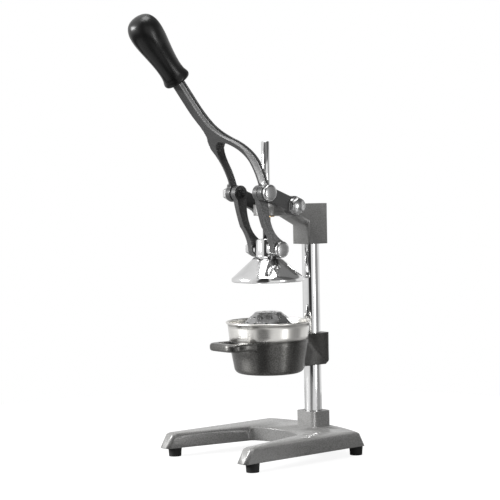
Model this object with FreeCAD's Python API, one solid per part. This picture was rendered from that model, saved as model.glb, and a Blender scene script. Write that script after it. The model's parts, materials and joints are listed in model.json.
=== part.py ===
import FreeCAD, Part
import math
import os
from FreeCAD import Vector

# Lever citrus juice press, in millimetres. Z is up, the user stands at -Y, X runs across.
# Pieces are drawn about the press axis, with z = 0 on the table.
# At the end the whole press moves along Y, so the origin is the middle of its footprint box.

# Fits and gaps
running_gap = 0.08          # radial gap of a hole that turns or slides on its shaft
seat_gap = 0.04             # radial gap of a hole that only locates a fixed shaft
side_gap = 0.3              # gap between faces that move past each other

# Main places, seen from the side: y towards the post, z up
post_setback = 83.6         # post axis behind the press axis
ram_pivot_z = 301.0         # lower link pivot, lever up
elbow_y = -30.8             # upper link pivot, in front of the press axis
elbow_z = 383.0
fulcrum_y = 19.0            # lever's fixed pivot on the head
fulcrum_z = 363.5
lever_travel = 75.0         # degrees that the lever swings down

# Base
foot_height = 13.0
foot_diameter = 20.0
foot_spacing = 181.2
front_foot_reach = 191.4    # front feet ahead of the post axis
rear_foot_setback = 2.0     # rear feet behind the post axis
leg_width = 21.0            # at the toe
leg_height = 21.0
toe_reach = 21.0            # foot of the sloping toe ahead of the foot's centre
toe_slope = 12.0            # the toe's top lies this much further back
heel_reach = 10.0           # the same behind the rear feet
heel_slope = 11.0
toe_round = 5.0
top_bevel = 2.0
waist_half = 54.0           # inside half width where the legs meet the crossbar
waist_setback = 76.0        # in front of the post axis
crossbar_front_setback = 58.5
rear_bow_setback = 18.0     # rear edge behind the post axis, in the middle
inner_corner = 12.0
base_wall = 5.0
rib = 4.0
rib_setbacks = [0.0, 52.0, 100.0, 148.0]    # ribs across, in front of the post axis
rib_offsets = [-46.0, 0.0, 46.0]            # ribs along the crossbar's depth
foot_taper = 1.0            # radius lost towards the table
foot_screw_radius = 3.0
foot_screw_grip = 11.0      # depth of its hole in the casting
foot_screw_head_radius = 5.5
foot_screw_head_height = 3.5
foot_recess = 3.0           # table to screw head
screw_slot = 1.2            # width of the driver slot
boss_width = 42.0
boss_depth = 36.0
boss_height = 22.0          # above the legs
boss_round = 8.0
boss_floor = 8.0

# Post
post_diameter = 26.0
post_top_z = 360.0
post_chamfer = 1.5
post_bolt_diameter = 10.0
post_bolt_grip = 26.0       # thread length inside the post
post_washer_diameter = 24.0
post_bolt_head = 6.0        # height
washer_thickness = 2.0
bolt_end = 2.0              # thread that shows past a nut

# Head
head_width = 38.0
head_depth = 37.0
head_bottom_z = 306.0
head_top_z = 366.0
head_edge = 2.5
nose_thickness = 16.0
nose_collar_diameter = 27.0
nose_collar_height = 7.0
gusset_reach = 33.0         # sloping web under the arm, along Y
gusset_drop = 18.0
arm_keel = 11.0             # rounding of the arm's lower edges
arm_drop = 2.0              # the arm's underside falls this much towards the gusset
cross_boss_diameter = 24.0
cross_boss_half = 29.4
saddle_front = 11.0         # foot of the saddle under the cross boss, from the fulcrum
saddle_back = 30.0
fulcrum_bolt_radius = 5.0
bush_wall = 2.5
bush_flange = 2.0
bush_flange_reach = 3.0
set_screw_diameter = 8.0
set_screw_head = 13.0       # across flats
set_screw_head_height = 5.5
head_screw_rises = [14.0, 42.0]             # above the head's underside

# Ram
rod_diameter = 12.0
rod_top_z = 458.0
rod_thread_depth = 9.0      # rod inside the neck
neck_diameter = 33.0
neck_top_z = 316.0
bell_rim_z = 254.0
bell_rim_height = 5.0
bell_diameter = 106.0
bell_shoulder_z = 289.0
bell_shoulder_radius = 19.6
bell_wall = 4.2
pivot_boss_diameter = 22.0
pivot_boss_half = 18.6      # half length of the boss that carries the links
rod_chamfer = 1.0

# Links
link_inner = 20.0           # inner face of each link, from the middle plane
link_thickness = 9.5
link_top_eye = 11.5         # radii
link_bottom_eye = 12.0
# edges of a link's bowed middle: y, and rise above the lower pivot
link_front_edge = [(-38.3, 76.0), (-32.4, 51.0), (-26.4, 33.0), (-17.0, 18.0)]
link_rear_edge = [(9.6, 7.2), (4.8, 12.5), (-9.5, 25.0), (-15.5, 37.0), (-19.2, 50.0), (-20.0, 76.0)]
journal_diameter = 6.4
journal_reach = 4.3         # into the lever's slot
journal_shank_radius = 4.5
journal_flange_radius = 7.0
journal_flange = 1.2
pivot_bolt_diameter = 10.0
button_diameter = 23.5      # round bolt heads
button_height = 8.2
button_edge = 1.5           # bevel of the round heads
button_crown = 1.2          # rise of their domes
nut_flats = 17.0
nut_height = 8.0
fulcrum_head_flats = 22.0
fulcrum_head_height = 9.0
fulcrum_washer_radius = 13.0

# Lever
lever_inner = 31.5          # inner face of each tine, from the middle plane
tine_thickness = 10.5
bar_width = 18.0
bar_depth = 11.2            # seen from the side
bar_angle = 52.0            # above the horizontal
bend_angle = 35.0           # slope at the fork
elbow_slope = 73.0          # slope where a tine reaches its elbow
upper_bend = 215.0          # radii of the bar's two bends
lower_bend = 127.0
elbow_lead = 13.0
fork_spring_z = 424.5       # height of the centre of the fork's arch
fork_shoulder = 26.0        # radius where the bar runs into the arch
bar_length = 44.5           # straight bar below the grip
lever_eye = 12.5            # radii
fulcrum_eye = 14.5
rear_arm_half = 10.5
channel_depth = 2.2         # recess in the lever's outer sides
flange_width = 3.0
channel_lead = 2.0          # the recess starts this far above the elbow
slot_wall = 3.6             # wall outside the slot that takes a link's journal
slot_margin = 1.9           # room round the journal in its slot
elbow_bolt_radius = 4.0
tang_diameter = 12.0
tang_length = 78.0
tang_root = 4.0             # part of the tang inside the bar

# Grip
grip_length = 107.0
grip_collar_radius = 19.3
grip_neck_radius = 16.6
grip_bulb_radius = 23.4
grip_collar_height = 9.0

# Pot holder
pot_rim_z = 169.5
pot_bottom_z = 120.6
pot_rim_radius = 58.6
pot_bottom_radius = 50.2
pot_wall = 4.4
pot_floor = 5.0
pot_round = 7.0
outlet_radius = 18.0
clamp_width = 36.0
clamp_depth = 40.0
clamp_bottom_z = 126.0
clamp_top_z = 173.0
clamp_round = 5.0
clamp_slope_depth = 9.0     # sloped lower rear edge
clamp_slope_height = 7.0
pot_screw_inset = 14.0      # from the block's top and bottom
pot_edge = 1.5
pot_step = 4.0              # rounding inside, above the floor
ear_half_width = 31.0
ear_reach = 93.5            # front of the ear, ahead of the press axis
ear_bar = 12.5
ear_height = 11.0
ear_top_drop = 0.5          # below the pot's rim
ear_round = 4.0

# Strainer cup and cone
sheet = 1.2
cup_rim_radius = 62.5
cup_rim_z = 196.5
lip_radius = 2.0
cup_top_radius = 60.3
cup_shoulder_radius = 57.8
cup_gap = 0.5               # between the cup's lower wall and the pot
cup_floor_z = 131.0
spout_radius = 14.0
spout_length = 9.0
cone_base_radius = 51.0
cone_middle_radius = 32.0   # at cone_middle_z, so that the flank bulges
cone_middle_z = 197.0
cone_top_radius = 20.0
cone_top_z = 209.6
cone_crown = 2.5            # rounding of the cone's top
cone_flare = 1.2
top_holes = 6
top_hole_circle = 9.0       # radius
hole_diameter = 3.4
hole_rings = 4
holes_per_ring = 12

# Places worked out from the sizes above
post_y = post_setback
leg_x = foot_spacing / 2
leg_top_z = foot_height + leg_height
front_foot_y = post_y - front_foot_reach
rear_foot_y = post_y + rear_foot_setback
boss_top_z = leg_top_z + boss_height
rod_radius = rod_diameter / 2
post_radius = post_diameter / 2
link_outer = link_inner + link_thickness
lever_outer = lever_inner + tine_thickness
crank = math.hypot(elbow_y - fulcrum_y, elbow_z - fulcrum_z)
crank_angle = math.degrees(math.atan2(elbow_z - fulcrum_z, elbow_y - fulcrum_y))
link_length = math.hypot(elbow_y, elbow_z - ram_pivot_z)
shoulder_z = pot_rim_z + sheet
nose_bottom_z = head_top_z - nose_thickness
bush_outer_radius = rod_radius + running_gap + bush_wall
head_screw_heights = [head_bottom_z + rise for rise in head_screw_rises]
pot_screw_heights = [clamp_bottom_z + pot_screw_inset, clamp_top_z - pot_screw_inset]
span = 99.0                 # longer than any cut across the press


def box(x0, x1, y0, y1, z0, z1):
    return Part.makeBox(x1 - x0, y1 - y0, z1 - z0, Vector(x0, y0, z0))


def rod_x(radius, x0, x1, y, z):
    """Cylinder along X between two x values."""
    return Part.makeCylinder(radius, x1 - x0, Vector(x0, y, z), Vector(1, 0, 0))


def rod_y(radius, y0, y1, x, z):
    return Part.makeCylinder(radius, y1 - y0, Vector(x, y0, z), Vector(0, 1, 0))


def rod_z(radius, z0, z1, x=0.0, y=0.0):
    return Part.makeCylinder(radius, z1 - z0, Vector(x, y, z0))


def chain(points):
    """Closed wire: two points in a row make a line, and ("arc", middle, end) makes an arc."""
    edges = []
    last = points[0]
    for item in points[1:] + [points[0]]:
        if isinstance(item, tuple):
            edges.append(Part.Arc(last, item[1], item[2]).toShape())
            last = item[2]
        elif last.distanceToPoint(item) > 1e-6:
            edges.append(Part.LineSegment(last, item).toShape())
            last = item
    return Part.Wire(edges)


def side_plate(wire, x0, x1):
    """Plate between two x values from an outline drawn in the YZ plane at x = 0."""
    plate = Part.Face(wire).extrude(Vector(x1 - x0, 0, 0))
    plate.translate(Vector(x0, 0, 0))
    return plate


def side(y, z):
    return Vector(0, y, z)


def revolve_z(outline, y=0.0):
    """Solid turned about a vertical axis from (radius, z) corners and arcs."""
    points = []
    for item in outline:
        if item[0] == "arc":
            middle, end = item[1], item[2]
            points.append(("arc", Vector(middle[0], 0, middle[1]), Vector(end[0], 0, end[1])))
        else:
            points.append(Vector(item[0], 0, item[1]))
    body = Part.Face(chain(points)).revolve(Vector(0, 0, 0), Vector(0, 0, 1), 360)
    body.translate(Vector(0, y, 0))
    return body


def upright_edges(shape, x_far, y_low, y_high):
    """Straight vertical edges of a shape inside a range of |x| and y."""
    found = []
    for edge in shape.Edges:
        box_of = edge.BoundBox
        if box_of.XLength < 0.01 and box_of.YLength < 0.01 and box_of.ZLength > 1:
            if abs(box_of.XMin) <= x_far and y_low <= box_of.YMin <= y_high:
                found.append(edge)
    return found


def top_rims(shape, top):
    return [edge for edge in shape.Edges if edge.Closed and edge.BoundBox.ZMin > top - 0.1]


def hexagon(flats, start, along):
    """Hexagonal prism from the middle of its first face, along a vector."""
    corner = flats / math.sqrt(3)
    ring = [Vector(corner * math.cos(math.radians(60 * k)), corner * math.sin(math.radians(60 * k)), 0)
            for k in range(7)]
    prism = Part.Face(Part.makePolygon(ring)).extrude(Vector(0, 0, along.Length))
    prism.Placement = FreeCAD.Placement(start, FreeCAD.Rotation(Vector(0, 0, 1), along))
    return prism


def button_head(x0, y, z):
    """Domed round bolt head that stands on the plane x = x0 and faces +X."""
    radius = button_diameter / 2
    straight = button_height - button_crown - button_edge
    inner = radius - button_edge
    ball = (inner ** 2 + button_crown ** 2) / (2 * button_crown)
    half_way = math.asin(inner / ball) / 2
    top = x0 + button_height
    on_dome = Vector(top - ball * (1 - math.cos(half_way)), y + ball * math.sin(half_way), z)
    outline = chain([
        Vector(x0, y, z),
        Vector(x0, y + radius, z),
        Vector(x0 + straight, y + radius, z),
        Vector(x0 + straight + button_edge, y + inner, z),
        ("arc", on_dome, Vector(top, y, z)),
    ])
    return Part.Face(outline).revolve(Vector(0, y, z), Vector(1, 0, 0), 360)


def washer_x(x0, x1, radius, hole, y, z):
    return rod_x(radius, x0, x1, y, z).cut(rod_x(hole, x0 - 1, x1 + 1, y, z))


def on_both_sides(shape):
    return [shape, shape.mirror(Vector(0, 0, 0), Vector(1, 0, 0))]


# Base casting
def base_outline(slope_share, inset, z):
    """U-shaped plan: legs that widen towards a bowed crossbar, with rounded toes and heels.

    slope_share runs from 0 at the bottom of toes and heels to 1 at their top.
    """
    inner = leg_x - leg_width / 2 + inset
    outer = leg_x + leg_width / 2 - inset
    toe_y = front_foot_y - toe_reach + toe_slope * slope_share + inset
    heel_y = rear_foot_y + heel_reach - heel_slope * slope_share - inset
    waist_x = waist_half + inset
    waist_y = post_y - waist_setback
    corner = toe_round * (1 - math.sqrt(0.5))

    def at(x, y):
        return Vector(x, y, z)

    points = [at(inner, toe_y + toe_round)]
    points += [("arc", at(inner + corner, toe_y + corner), at(inner + toe_round, toe_y))]
    points += [at(outer - toe_round, toe_y)]
    points += [("arc", at(outer - corner, toe_y + corner), at(outer, toe_y + toe_round))]
    points += [at(outer, heel_y - toe_round)]
    points += [("arc", at(outer - corner, heel_y - corner), at(outer - toe_round, heel_y))]
    points += [("arc", at(0, post_y + rear_bow_setback - inset), at(-outer + toe_round, heel_y))]
    points += [("arc", at(-outer + corner, heel_y - corner), at(-outer, heel_y - toe_round))]
    points += [at(-outer, toe_y + toe_round)]
    points += [("arc", at(-outer + corner, toe_y + corner), at(-outer + toe_round, toe_y))]
    points += [at(-inner - toe_round, toe_y)]
    points += [("arc", at(-inner - corner, toe_y + corner), at(-inner, toe_y + toe_round))]
    points += [at(-waist_x, waist_y)]
    points += [("arc", at(0, post_y - crossbar_front_setback + inset), at(waist_x, waist_y))]
    return chain(points)


def base_casting():
    bevel_z = leg_top_z - top_bevel
    share = (bevel_z - foot_height) / leg_height
    under_bevel = base_outline(share, 0, bevel_z)
    body = Part.makeLoft([base_outline(0, 0, foot_height), under_bevel], True, True)
    lid = Part.makeLoft([under_bevel, base_outline(1, top_bevel, leg_top_z)], True, True)
    waist_y = post_y - waist_setback
    body = body.makeFillet(inner_corner, upright_edges(body, waist_half + 1, waist_y - 1, waist_y + 1))
    body = body.fuse(lid)
    boss = box(-boss_width / 2, boss_width / 2, post_y - boss_depth / 2, post_y + boss_depth / 2,
               foot_height, boss_top_z)
    corners = upright_edges(boss, boss_width, post_y - boss_depth, post_y + boss_depth)
    boss = boss.makeFillet(boss_round, corners)
    body = body.fuse(boss)

    # hollow underside, with solid places over the feet and round the post, and ribs between them
    roof_z = leg_top_z - base_wall
    floor = Part.Face(base_outline(1, base_wall, foot_height - 1))
    hollow = floor.extrude(Vector(0, 0, roof_z - foot_height + 1))
    for x, y in feet_places():
        hollow = hollow.cut(rod_z(foot_diameter / 2, 0, roof_z + 1, x, y))
    hollow = hollow.cut(rod_z(boss_width / 2, 0, roof_z + 1, 0, post_y))
    for y in rib_setbacks:
        hollow = hollow.cut(box(-leg_x * 2, leg_x * 2, post_y - y - rib / 2, post_y - y + rib / 2, 0, roof_z))
    for x in rib_offsets:
        hollow = hollow.cut(box(x - rib / 2, x + rib / 2, post_y - crossbar_front_setback, post_y * 2, 0, roof_z))
    body = body.cut(hollow)

    # post socket, its bolt hole, and the holes of the foot screws
    body = body.cut(rod_z(post_radius + seat_gap, foot_height + boss_floor, boss_top_z + 1, 0, post_y))
    body = body.cut(rod_z(post_bolt_diameter / 2 + seat_gap, 0, boss_top_z, 0, post_y))
    for x, y in feet_places():
        body = body.cut(rod_z(foot_screw_radius, foot_height - 1, foot_height + foot_screw_grip, x, y))
    return body.removeSplitter()


def feet_places():
    return [(sign * leg_x, y) for y in (front_foot_y, rear_foot_y) for sign in (-1, 1)]


def rubber_feet():
    feet = []
    for x, y in feet_places():
        foot = Part.makeCone(foot_diameter / 2 - foot_taper, foot_diameter / 2, foot_height, Vector(x, y, 0))
        foot = foot.cut(rod_z(foot_screw_radius + seat_gap, -1, foot_height + 1, x, y))
        recess_top = foot_recess + foot_screw_head_height
        foot = foot.cut(rod_z(foot_screw_head_radius + seat_gap, -1, recess_top, x, y))
        feet.append(foot)
    return feet


def foot_screws():
    screws = []
    for x, y in feet_places():
        top = foot_recess + foot_screw_head_height
        head = rod_z(foot_screw_head_radius, foot_recess, top, x, y)
        shank = rod_z(foot_screw_radius, top, foot_height + foot_screw_grip - 1, x, y)
        slot = box(x - screw_slot / 2, x + screw_slot / 2,
                   y - foot_screw_head_radius, y + foot_screw_head_radius, foot_recess - 1, foot_recess + 1)
        screws.append(head.fuse(shank).cut(slot).removeSplitter())
    return screws


# Post and what holds it
def post():
    bottom = foot_height + boss_floor
    bar = rod_z(post_radius, bottom, post_top_z, 0, post_y)
    bar = bar.makeChamfer(post_chamfer, top_rims(bar, post_top_z))
    return bar.cut(rod_z(post_bolt_diameter / 2 + seat_gap, bottom - 1, bottom + post_bolt_grip, 0, post_y))


def post_bolt():
    bottom = foot_height - washer_thickness
    shank = rod_z(post_bolt_diameter / 2, bottom, foot_height + boss_floor + post_bolt_grip - 2, 0, post_y)
    head = hexagon(nut_flats, Vector(0, post_y, bottom - post_bolt_head), Vector(0, 0, post_bolt_head))
    return shank.fuse(head).removeSplitter()


def post_washer():
    disc = rod_z(post_washer_diameter / 2, foot_height - washer_thickness, foot_height, 0, post_y)
    return disc.cut(rod_z(post_bolt_diameter / 2 + seat_gap, 0, foot_height + 1, 0, post_y))


# Head casting: clamps the post, guides the ram and carries the lever's fulcrum
def head_casting():
    front = post_y - head_depth / 2
    back = post_y + head_depth / 2
    under = nose_bottom_z - arm_drop
    half = head_width / 2
    arm = side_plate(chain([
        side(0, nose_bottom_z),
        side(front - gusset_reach, under),
        side(front + head_edge, under - gusset_drop),
        side(front + head_edge, head_top_z),
        side(0, head_top_z),
    ]), -half, half)
    keel = [e for e in arm.Edges if abs(abs(e.CenterOfMass.x) - half) < 0.1
            and e.BoundBox.ZMax < nose_bottom_z + 0.1 and e.BoundBox.YLength > 1]
    arm = arm.makeFillet(arm_keel, keel)
    block = box(-half, half, front, back, head_bottom_z, head_top_z)
    body = block.makeFillet(head_edge, upright_edges(block, half, front - 0.1, back + 0.1)).fuse(arm)
    body = body.fuse(rod_z(half, nose_bottom_z, head_top_z))
    body = body.fuse(rod_z(nose_collar_diameter / 2, head_top_z - 1, head_top_z + nose_collar_height))
    cheek_top = fulcrum_z + cross_boss_diameter / 2
    body = body.fuse(rod_x(cross_boss_diameter / 2, -cross_boss_half, cross_boss_half, fulcrum_y, fulcrum_z))
    saddle = chain([side(fulcrum_y - saddle_front, head_top_z - 1),
                    side(fulcrum_y + saddle_back, head_top_z - 1), side(fulcrum_y, cheek_top)])
    body = body.fuse(side_plate(saddle, -half + head_edge, half - head_edge))
    body = body.cut(rod_z(post_radius + seat_gap, head_bottom_z - 1, post_top_z + 1, 0, post_y))
    body = body.cut(rod_z(bush_outer_radius + seat_gap, 0, head_top_z + nose_collar_height + 1))
    body = body.cut(rod_z(bush_outer_radius + bush_flange_reach + side_gap, 0, nose_bottom_z))
    body = body.cut(rod_x(fulcrum_bolt_radius + seat_gap, -span, span, fulcrum_y, fulcrum_z))
    for z in head_screw_heights:
        body = body.cut(rod_y(set_screw_diameter / 2 + seat_gap, post_y, back + 1, 0, z))
    return body.removeSplitter()


def guide_bush():
    """Plain bearing of the ram's rod, with a flange under the nose."""
    top = head_top_z + nose_collar_height
    bush = rod_z(bush_outer_radius, nose_bottom_z - bush_flange, top)
    bush = bush.fuse(rod_z(bush_outer_radius + bush_flange_reach, nose_bottom_z - bush_flange, nose_bottom_z))
    return bush.cut(rod_z(rod_radius + running_gap, 0, top + 1))


def set_screws(heights, back):
    """Hexagon screws from behind, whose ends press on the post."""
    screws = []
    for z in heights:
        head = hexagon(set_screw_head, Vector(0, back, z), Vector(0, set_screw_head_height, 0))
        shank = rod_y(set_screw_diameter / 2, post_y + post_radius, back, 0, z)
        screws.append(head.fuse(shank).removeSplitter())
    return screws


def fulcrum_bolt():
    near = lever_outer + side_gap + washer_thickness
    far = -lever_outer - side_gap - washer_thickness - nut_height
    shank = rod_x(fulcrum_bolt_radius, far - bolt_end, near + 1, fulcrum_y, fulcrum_z)
    head = hexagon(fulcrum_head_flats, Vector(near, fulcrum_y, fulcrum_z), Vector(fulcrum_head_height, 0, 0))
    crown = Part.makeCone(fulcrum_head_flats * 0.66, fulcrum_head_flats * 0.47, fulcrum_head_height,
                          Vector(near, fulcrum_y, fulcrum_z), Vector(1, 0, 0))
    return shank.fuse(head.common(crown)).removeSplitter()


def fulcrum_washers():
    """One on each side of the cross boss, one under the bolt's head and one under the nut."""
    hole = fulcrum_bolt_radius + seat_gap
    inner = washer_x(cross_boss_half, lever_inner - side_gap, cross_boss_diameter / 2 - 1, hole,
                     fulcrum_y, fulcrum_z)
    seat = lever_outer + side_gap
    outer = washer_x(seat, seat + washer_thickness, fulcrum_washer_radius, hole, fulcrum_y, fulcrum_z)
    return on_both_sides(inner) + on_both_sides(outer)


def nut_x(outer_face, bolt_radius, y, z):
    """Hexagon nut on the far side whose inner face lies at outer_face."""
    body = hexagon(nut_flats, Vector(outer_face, y, z), Vector(-nut_height, 0, 0))
    return body.cut(rod_x(bolt_radius + seat_gap, outer_face - nut_height - 1, outer_face + 1, y, z))


def fulcrum_nut():
    return nut_x(-lever_outer - side_gap - washer_thickness, fulcrum_bolt_radius, fulcrum_y, fulcrum_z)


# Lever casting
def ribbon(start, heading, steps, half):
    """Band of even width in the YZ plane. A step is ("line", length) or ("bend", radius, turn)."""
    def left_of(point, angle, distance):
        return side(point.y - distance * math.sin(angle), point.z + distance * math.cos(angle))

    left, right = [left_of(start, heading, half)], [left_of(start, heading, -half)]
    point, angle = start, heading
    for step in steps:
        if step[0] == "line":
            point = side(point.y + step[1] * math.cos(angle), point.z + step[1] * math.sin(angle))
            left.append(left_of(point, angle, half))
            right.append(left_of(point, angle, -half))
        else:
            radius, turn = step[1], math.radians(step[2])
            sign = 1 if turn > 0 else -1
            centre = left_of(point, angle, sign * radius)
            halfway = left_of(centre, angle + turn / 2, -sign * radius)
            point = left_of(centre, angle + turn, -sign * radius)
            for path, offset in ((left, half), (right, -half)):
                path.append((left_of(halfway, angle + turn / 2, offset), left_of(point, angle + turn, offset)))
            angle += turn
    edges = []
    for path in (left, right):
        last = path[0]
        for item in path[1:]:
            if isinstance(item, tuple):
                edges.append(Part.Arc(last, item[0], item[1]).toShape())
                last = item[1]
            else:
                edges.append(Part.LineSegment(last, item).toShape())
                last = item
    ends = [path[-1][1] if isinstance(path[-1], tuple) else path[-1] for path in (left, right)]
    edges.append(Part.LineSegment(left[0], right[0]).toShape())
    edges.append(Part.LineSegment(ends[0], ends[1]).toShape())
    return Part.Wire(Part.__sortEdges__(edges))


def lever_path():
    """Start point, heading and steps of the lever's centre line, from an elbow up to the grip."""
    heading = math.radians(180 - elbow_slope)
    steps = [("line", elbow_lead), ("bend", lower_bend, elbow_slope - bend_angle),
             ("bend", upper_bend, bend_angle - bar_angle), ("line", bar_length)]
    return side(elbow_y, elbow_z), heading, steps


def bar_end():
    """Point where the bar enters the grip, and the bar's direction there."""
    point, angle, steps = lever_path()
    for step in steps:
        if step[0] == "line":
            point = side(point.y + step[1] * math.cos(angle), point.z + step[1] * math.sin(angle))
        else:
            turn = math.radians(step[2])
            chord = 2 * step[1] * math.sin(abs(turn) / 2)
            middle = angle + turn / 2
            point = side(point.y + chord * math.cos(middle), point.z + chord * math.sin(middle))
            angle += turn
    return point, side(math.cos(angle), math.sin(angle))


def fork_front(inset, filled):
    """Front view of bar and fork, drawn in the XZ plane: half rings on straight tines."""
    outer = lever_outer - inset
    half_bar = bar_width / 2 - inset
    low, high = fulcrum_z - span, fork_spring_z + 4 * span
    reach = outer + fork_shoulder
    touch_z = fork_spring_z + math.sqrt(reach ** 2 - (half_bar + fork_shoulder) ** 2)
    tilt = math.atan2(touch_z - fork_spring_z, half_bar + fork_shoulder)
    centre = Vector(half_bar + fork_shoulder, 0, touch_z)
    meet = Vector(outer * math.cos(tilt), 0, fork_spring_z + outer * math.sin(tilt))
    on_ring = Vector(outer * math.cos(tilt / 2), 0, fork_spring_z + outer * math.sin(tilt / 2))
    bow = (math.pi + tilt) / 2 + math.pi / 2
    on_bow = centre + Vector(fork_shoulder * math.cos(bow), 0, fork_shoulder * math.sin(bow))

    def flip(v):
        return Vector(-v.x, v.y, v.z)

    right = [Vector(outer, 0, low), Vector(outer, 0, fork_spring_z), ("arc", on_ring, meet),
             ("arc", on_bow, Vector(half_bar, 0, touch_z)), Vector(half_bar, 0, high)]
    left = [Vector(-half_bar, 0, high), Vector(-half_bar, 0, touch_z), ("arc", flip(on_bow), flip(meet)),
            ("arc", flip(on_ring), Vector(-outer, 0, fork_spring_z)), Vector(-outer, 0, low)]
    if filled:
        points = right + left
    else:
        points = right + left + [Vector(-lever_inner, 0, low), Vector(-lever_inner, 0, fork_spring_z),
                                 ("arc", Vector(0, 0, fork_spring_z + lever_inner),
                                  Vector(lever_inner, 0, fork_spring_z)), Vector(lever_inner, 0, low)]
    front = Part.Face(chain(points)).extrude(Vector(0, 10 * span, 0))
    front.translate(Vector(0, -6 * span, 0))
    return front


def rear_arm():
    """Side view of the arm from elbow to fulcrum."""
    run = math.atan2(fulcrum_z - elbow_z, fulcrum_y - elbow_y)
    off_y, off_z = -rear_arm_half * math.sin(run), rear_arm_half * math.cos(run)
    corners = [side(elbow_y + off_y, elbow_z + off_z), side(fulcrum_y + off_y, fulcrum_z + off_z),
               side(fulcrum_y - off_y, fulcrum_z - off_z), side(elbow_y - off_y, elbow_z - off_z)]
    return chain(corners)


def journal_slot_end():
    """Furthest place of a link's journal in the lever, in the lever's own frame at rest.

    The link and the ram follow the lever at even rates that are exact with the lever up and down.
    """
    stroke = ram_pivot_z - ram_height(lever_travel)
    swing = link_tilt(lever_travel) - link_tilt(0)
    furthest, place = 0.0, (elbow_y, elbow_z)
    for step in range(1, 40):
        share = step / 40
        tilt = link_tilt(0) + swing * share
        top_y = link_length * math.cos(tilt)
        top_z = ram_pivot_z - stroke * share + link_length * math.sin(tilt)
        back = -math.radians(lever_travel * share)
        dy, dz = top_y - fulcrum_y, top_z - fulcrum_z
        y = fulcrum_y + dy * math.cos(back) - dz * math.sin(back)
        z = fulcrum_z + dy * math.sin(back) + dz * math.cos(back)
        if math.hypot(y - elbow_y, z - elbow_z) > furthest:
            furthest, place = math.hypot(y - elbow_y, z - elbow_z), (y, z)
    return place


def elbow_place(angle):
    turned = math.radians(crank_angle + angle)
    return fulcrum_y + crank * math.cos(turned), fulcrum_z + crank * math.sin(turned)


def ram_height(angle):
    y, z = elbow_place(angle)
    return z - math.sqrt(link_length ** 2 - y ** 2)


def link_tilt(angle):
    y, z = elbow_place(angle)
    return math.atan2(z - ram_height(angle), y)


def lever_casting():
    start, heading, steps = lever_path()
    half = bar_depth / 2
    profile = side_plate(ribbon(start, heading, steps, half), -span, span)
    for radius, y, z in ((lever_eye, elbow_y, elbow_z), (fulcrum_eye, fulcrum_y, fulcrum_z)):
        profile = profile.fuse(rod_x(radius, -span, span, y, z))
    profile = profile.fuse(side_plate(rear_arm(), -span, span))
    body = profile.common(fork_front(0, False))

    # recessed webs on the outer sides of bar and tines
    short = [("line", elbow_lead - channel_lead)] + steps[1:]
    first = side(start.y + channel_lead * math.cos(heading), start.z + channel_lead * math.sin(heading))
    strip = side_plate(ribbon(first, heading, short, half - flange_width), -span, span)
    strip = strip.cut(rod_x(lever_eye + flange_width / 2, -span, span, elbow_y, elbow_z))
    body = body.cut(strip.cut(fork_front(channel_depth, True)))

    # tang for the grip
    end, along = bar_end()
    body = body.fuse(Part.makeCylinder(tang_diameter / 2, tang_length, end - along * tang_root, along))

    # fulcrum holes, blind holes of the elbow bolts, and the slots of the links' journals
    body = body.cut(rod_x(fulcrum_bolt_radius + running_gap, -span, span, fulcrum_y, fulcrum_z))
    slot_y, slot_z = journal_slot_end()
    for sign in (-1, 1):
        outer_skin = sorted((sign * (lever_outer - slot_wall), sign * (lever_outer + 1)))
        body = body.cut(rod_x(elbow_bolt_radius + seat_gap, outer_skin[0], outer_skin[1], elbow_y, elbow_z))
        low, high = sorted((sign * (lever_inner - 1), sign * (lever_inner + journal_reach + side_gap)))
        body = body.cut(slot_tool(low, high, slot_y, slot_z))
    return body.removeSplitter()


def slot_tool(x0, x1, slot_y, slot_z):
    """Long hole from the elbow to the journal's furthest place."""
    radius = journal_diameter / 2 + slot_margin
    run = math.atan2(slot_z - elbow_z, slot_y - elbow_y)
    length = math.hypot(slot_z - elbow_z, slot_y - elbow_y)
    tool = rod_x(radius, x0, x1, elbow_y, elbow_z).fuse(rod_x(radius, x0, x1, slot_y, slot_z))
    bar = box(x0, x1, 0, length, -radius, radius)
    bar.rotate(Vector(0, 0, 0), Vector(1, 0, 0), math.degrees(run))
    bar.translate(Vector(0, elbow_y, elbow_z))
    return tool.fuse(bar)


def elbow_bolt():
    """Round-headed bolt in the near elbow."""
    shank = rod_x(elbow_bolt_radius, lever_outer - slot_wall, lever_outer + 1, elbow_y, elbow_z)
    return shank.fuse(button_head(lever_outer, elbow_y, elbow_z)).removeSplitter()


def elbow_stud():
    """Stud in the far elbow, which carries the nut."""
    far = -lever_outer - washer_thickness - nut_height - bolt_end
    return rod_x(elbow_bolt_radius, far, -lever_outer + slot_wall, elbow_y, elbow_z)


def elbow_nut():
    return nut_x(-lever_outer - washer_thickness, elbow_bolt_radius, elbow_y, elbow_z)


def elbow_washer():
    return washer_x(-lever_outer - washer_thickness, -lever_outer, lever_eye - 1.5,
                    elbow_bolt_radius + seat_gap, elbow_y, elbow_z)


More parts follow.
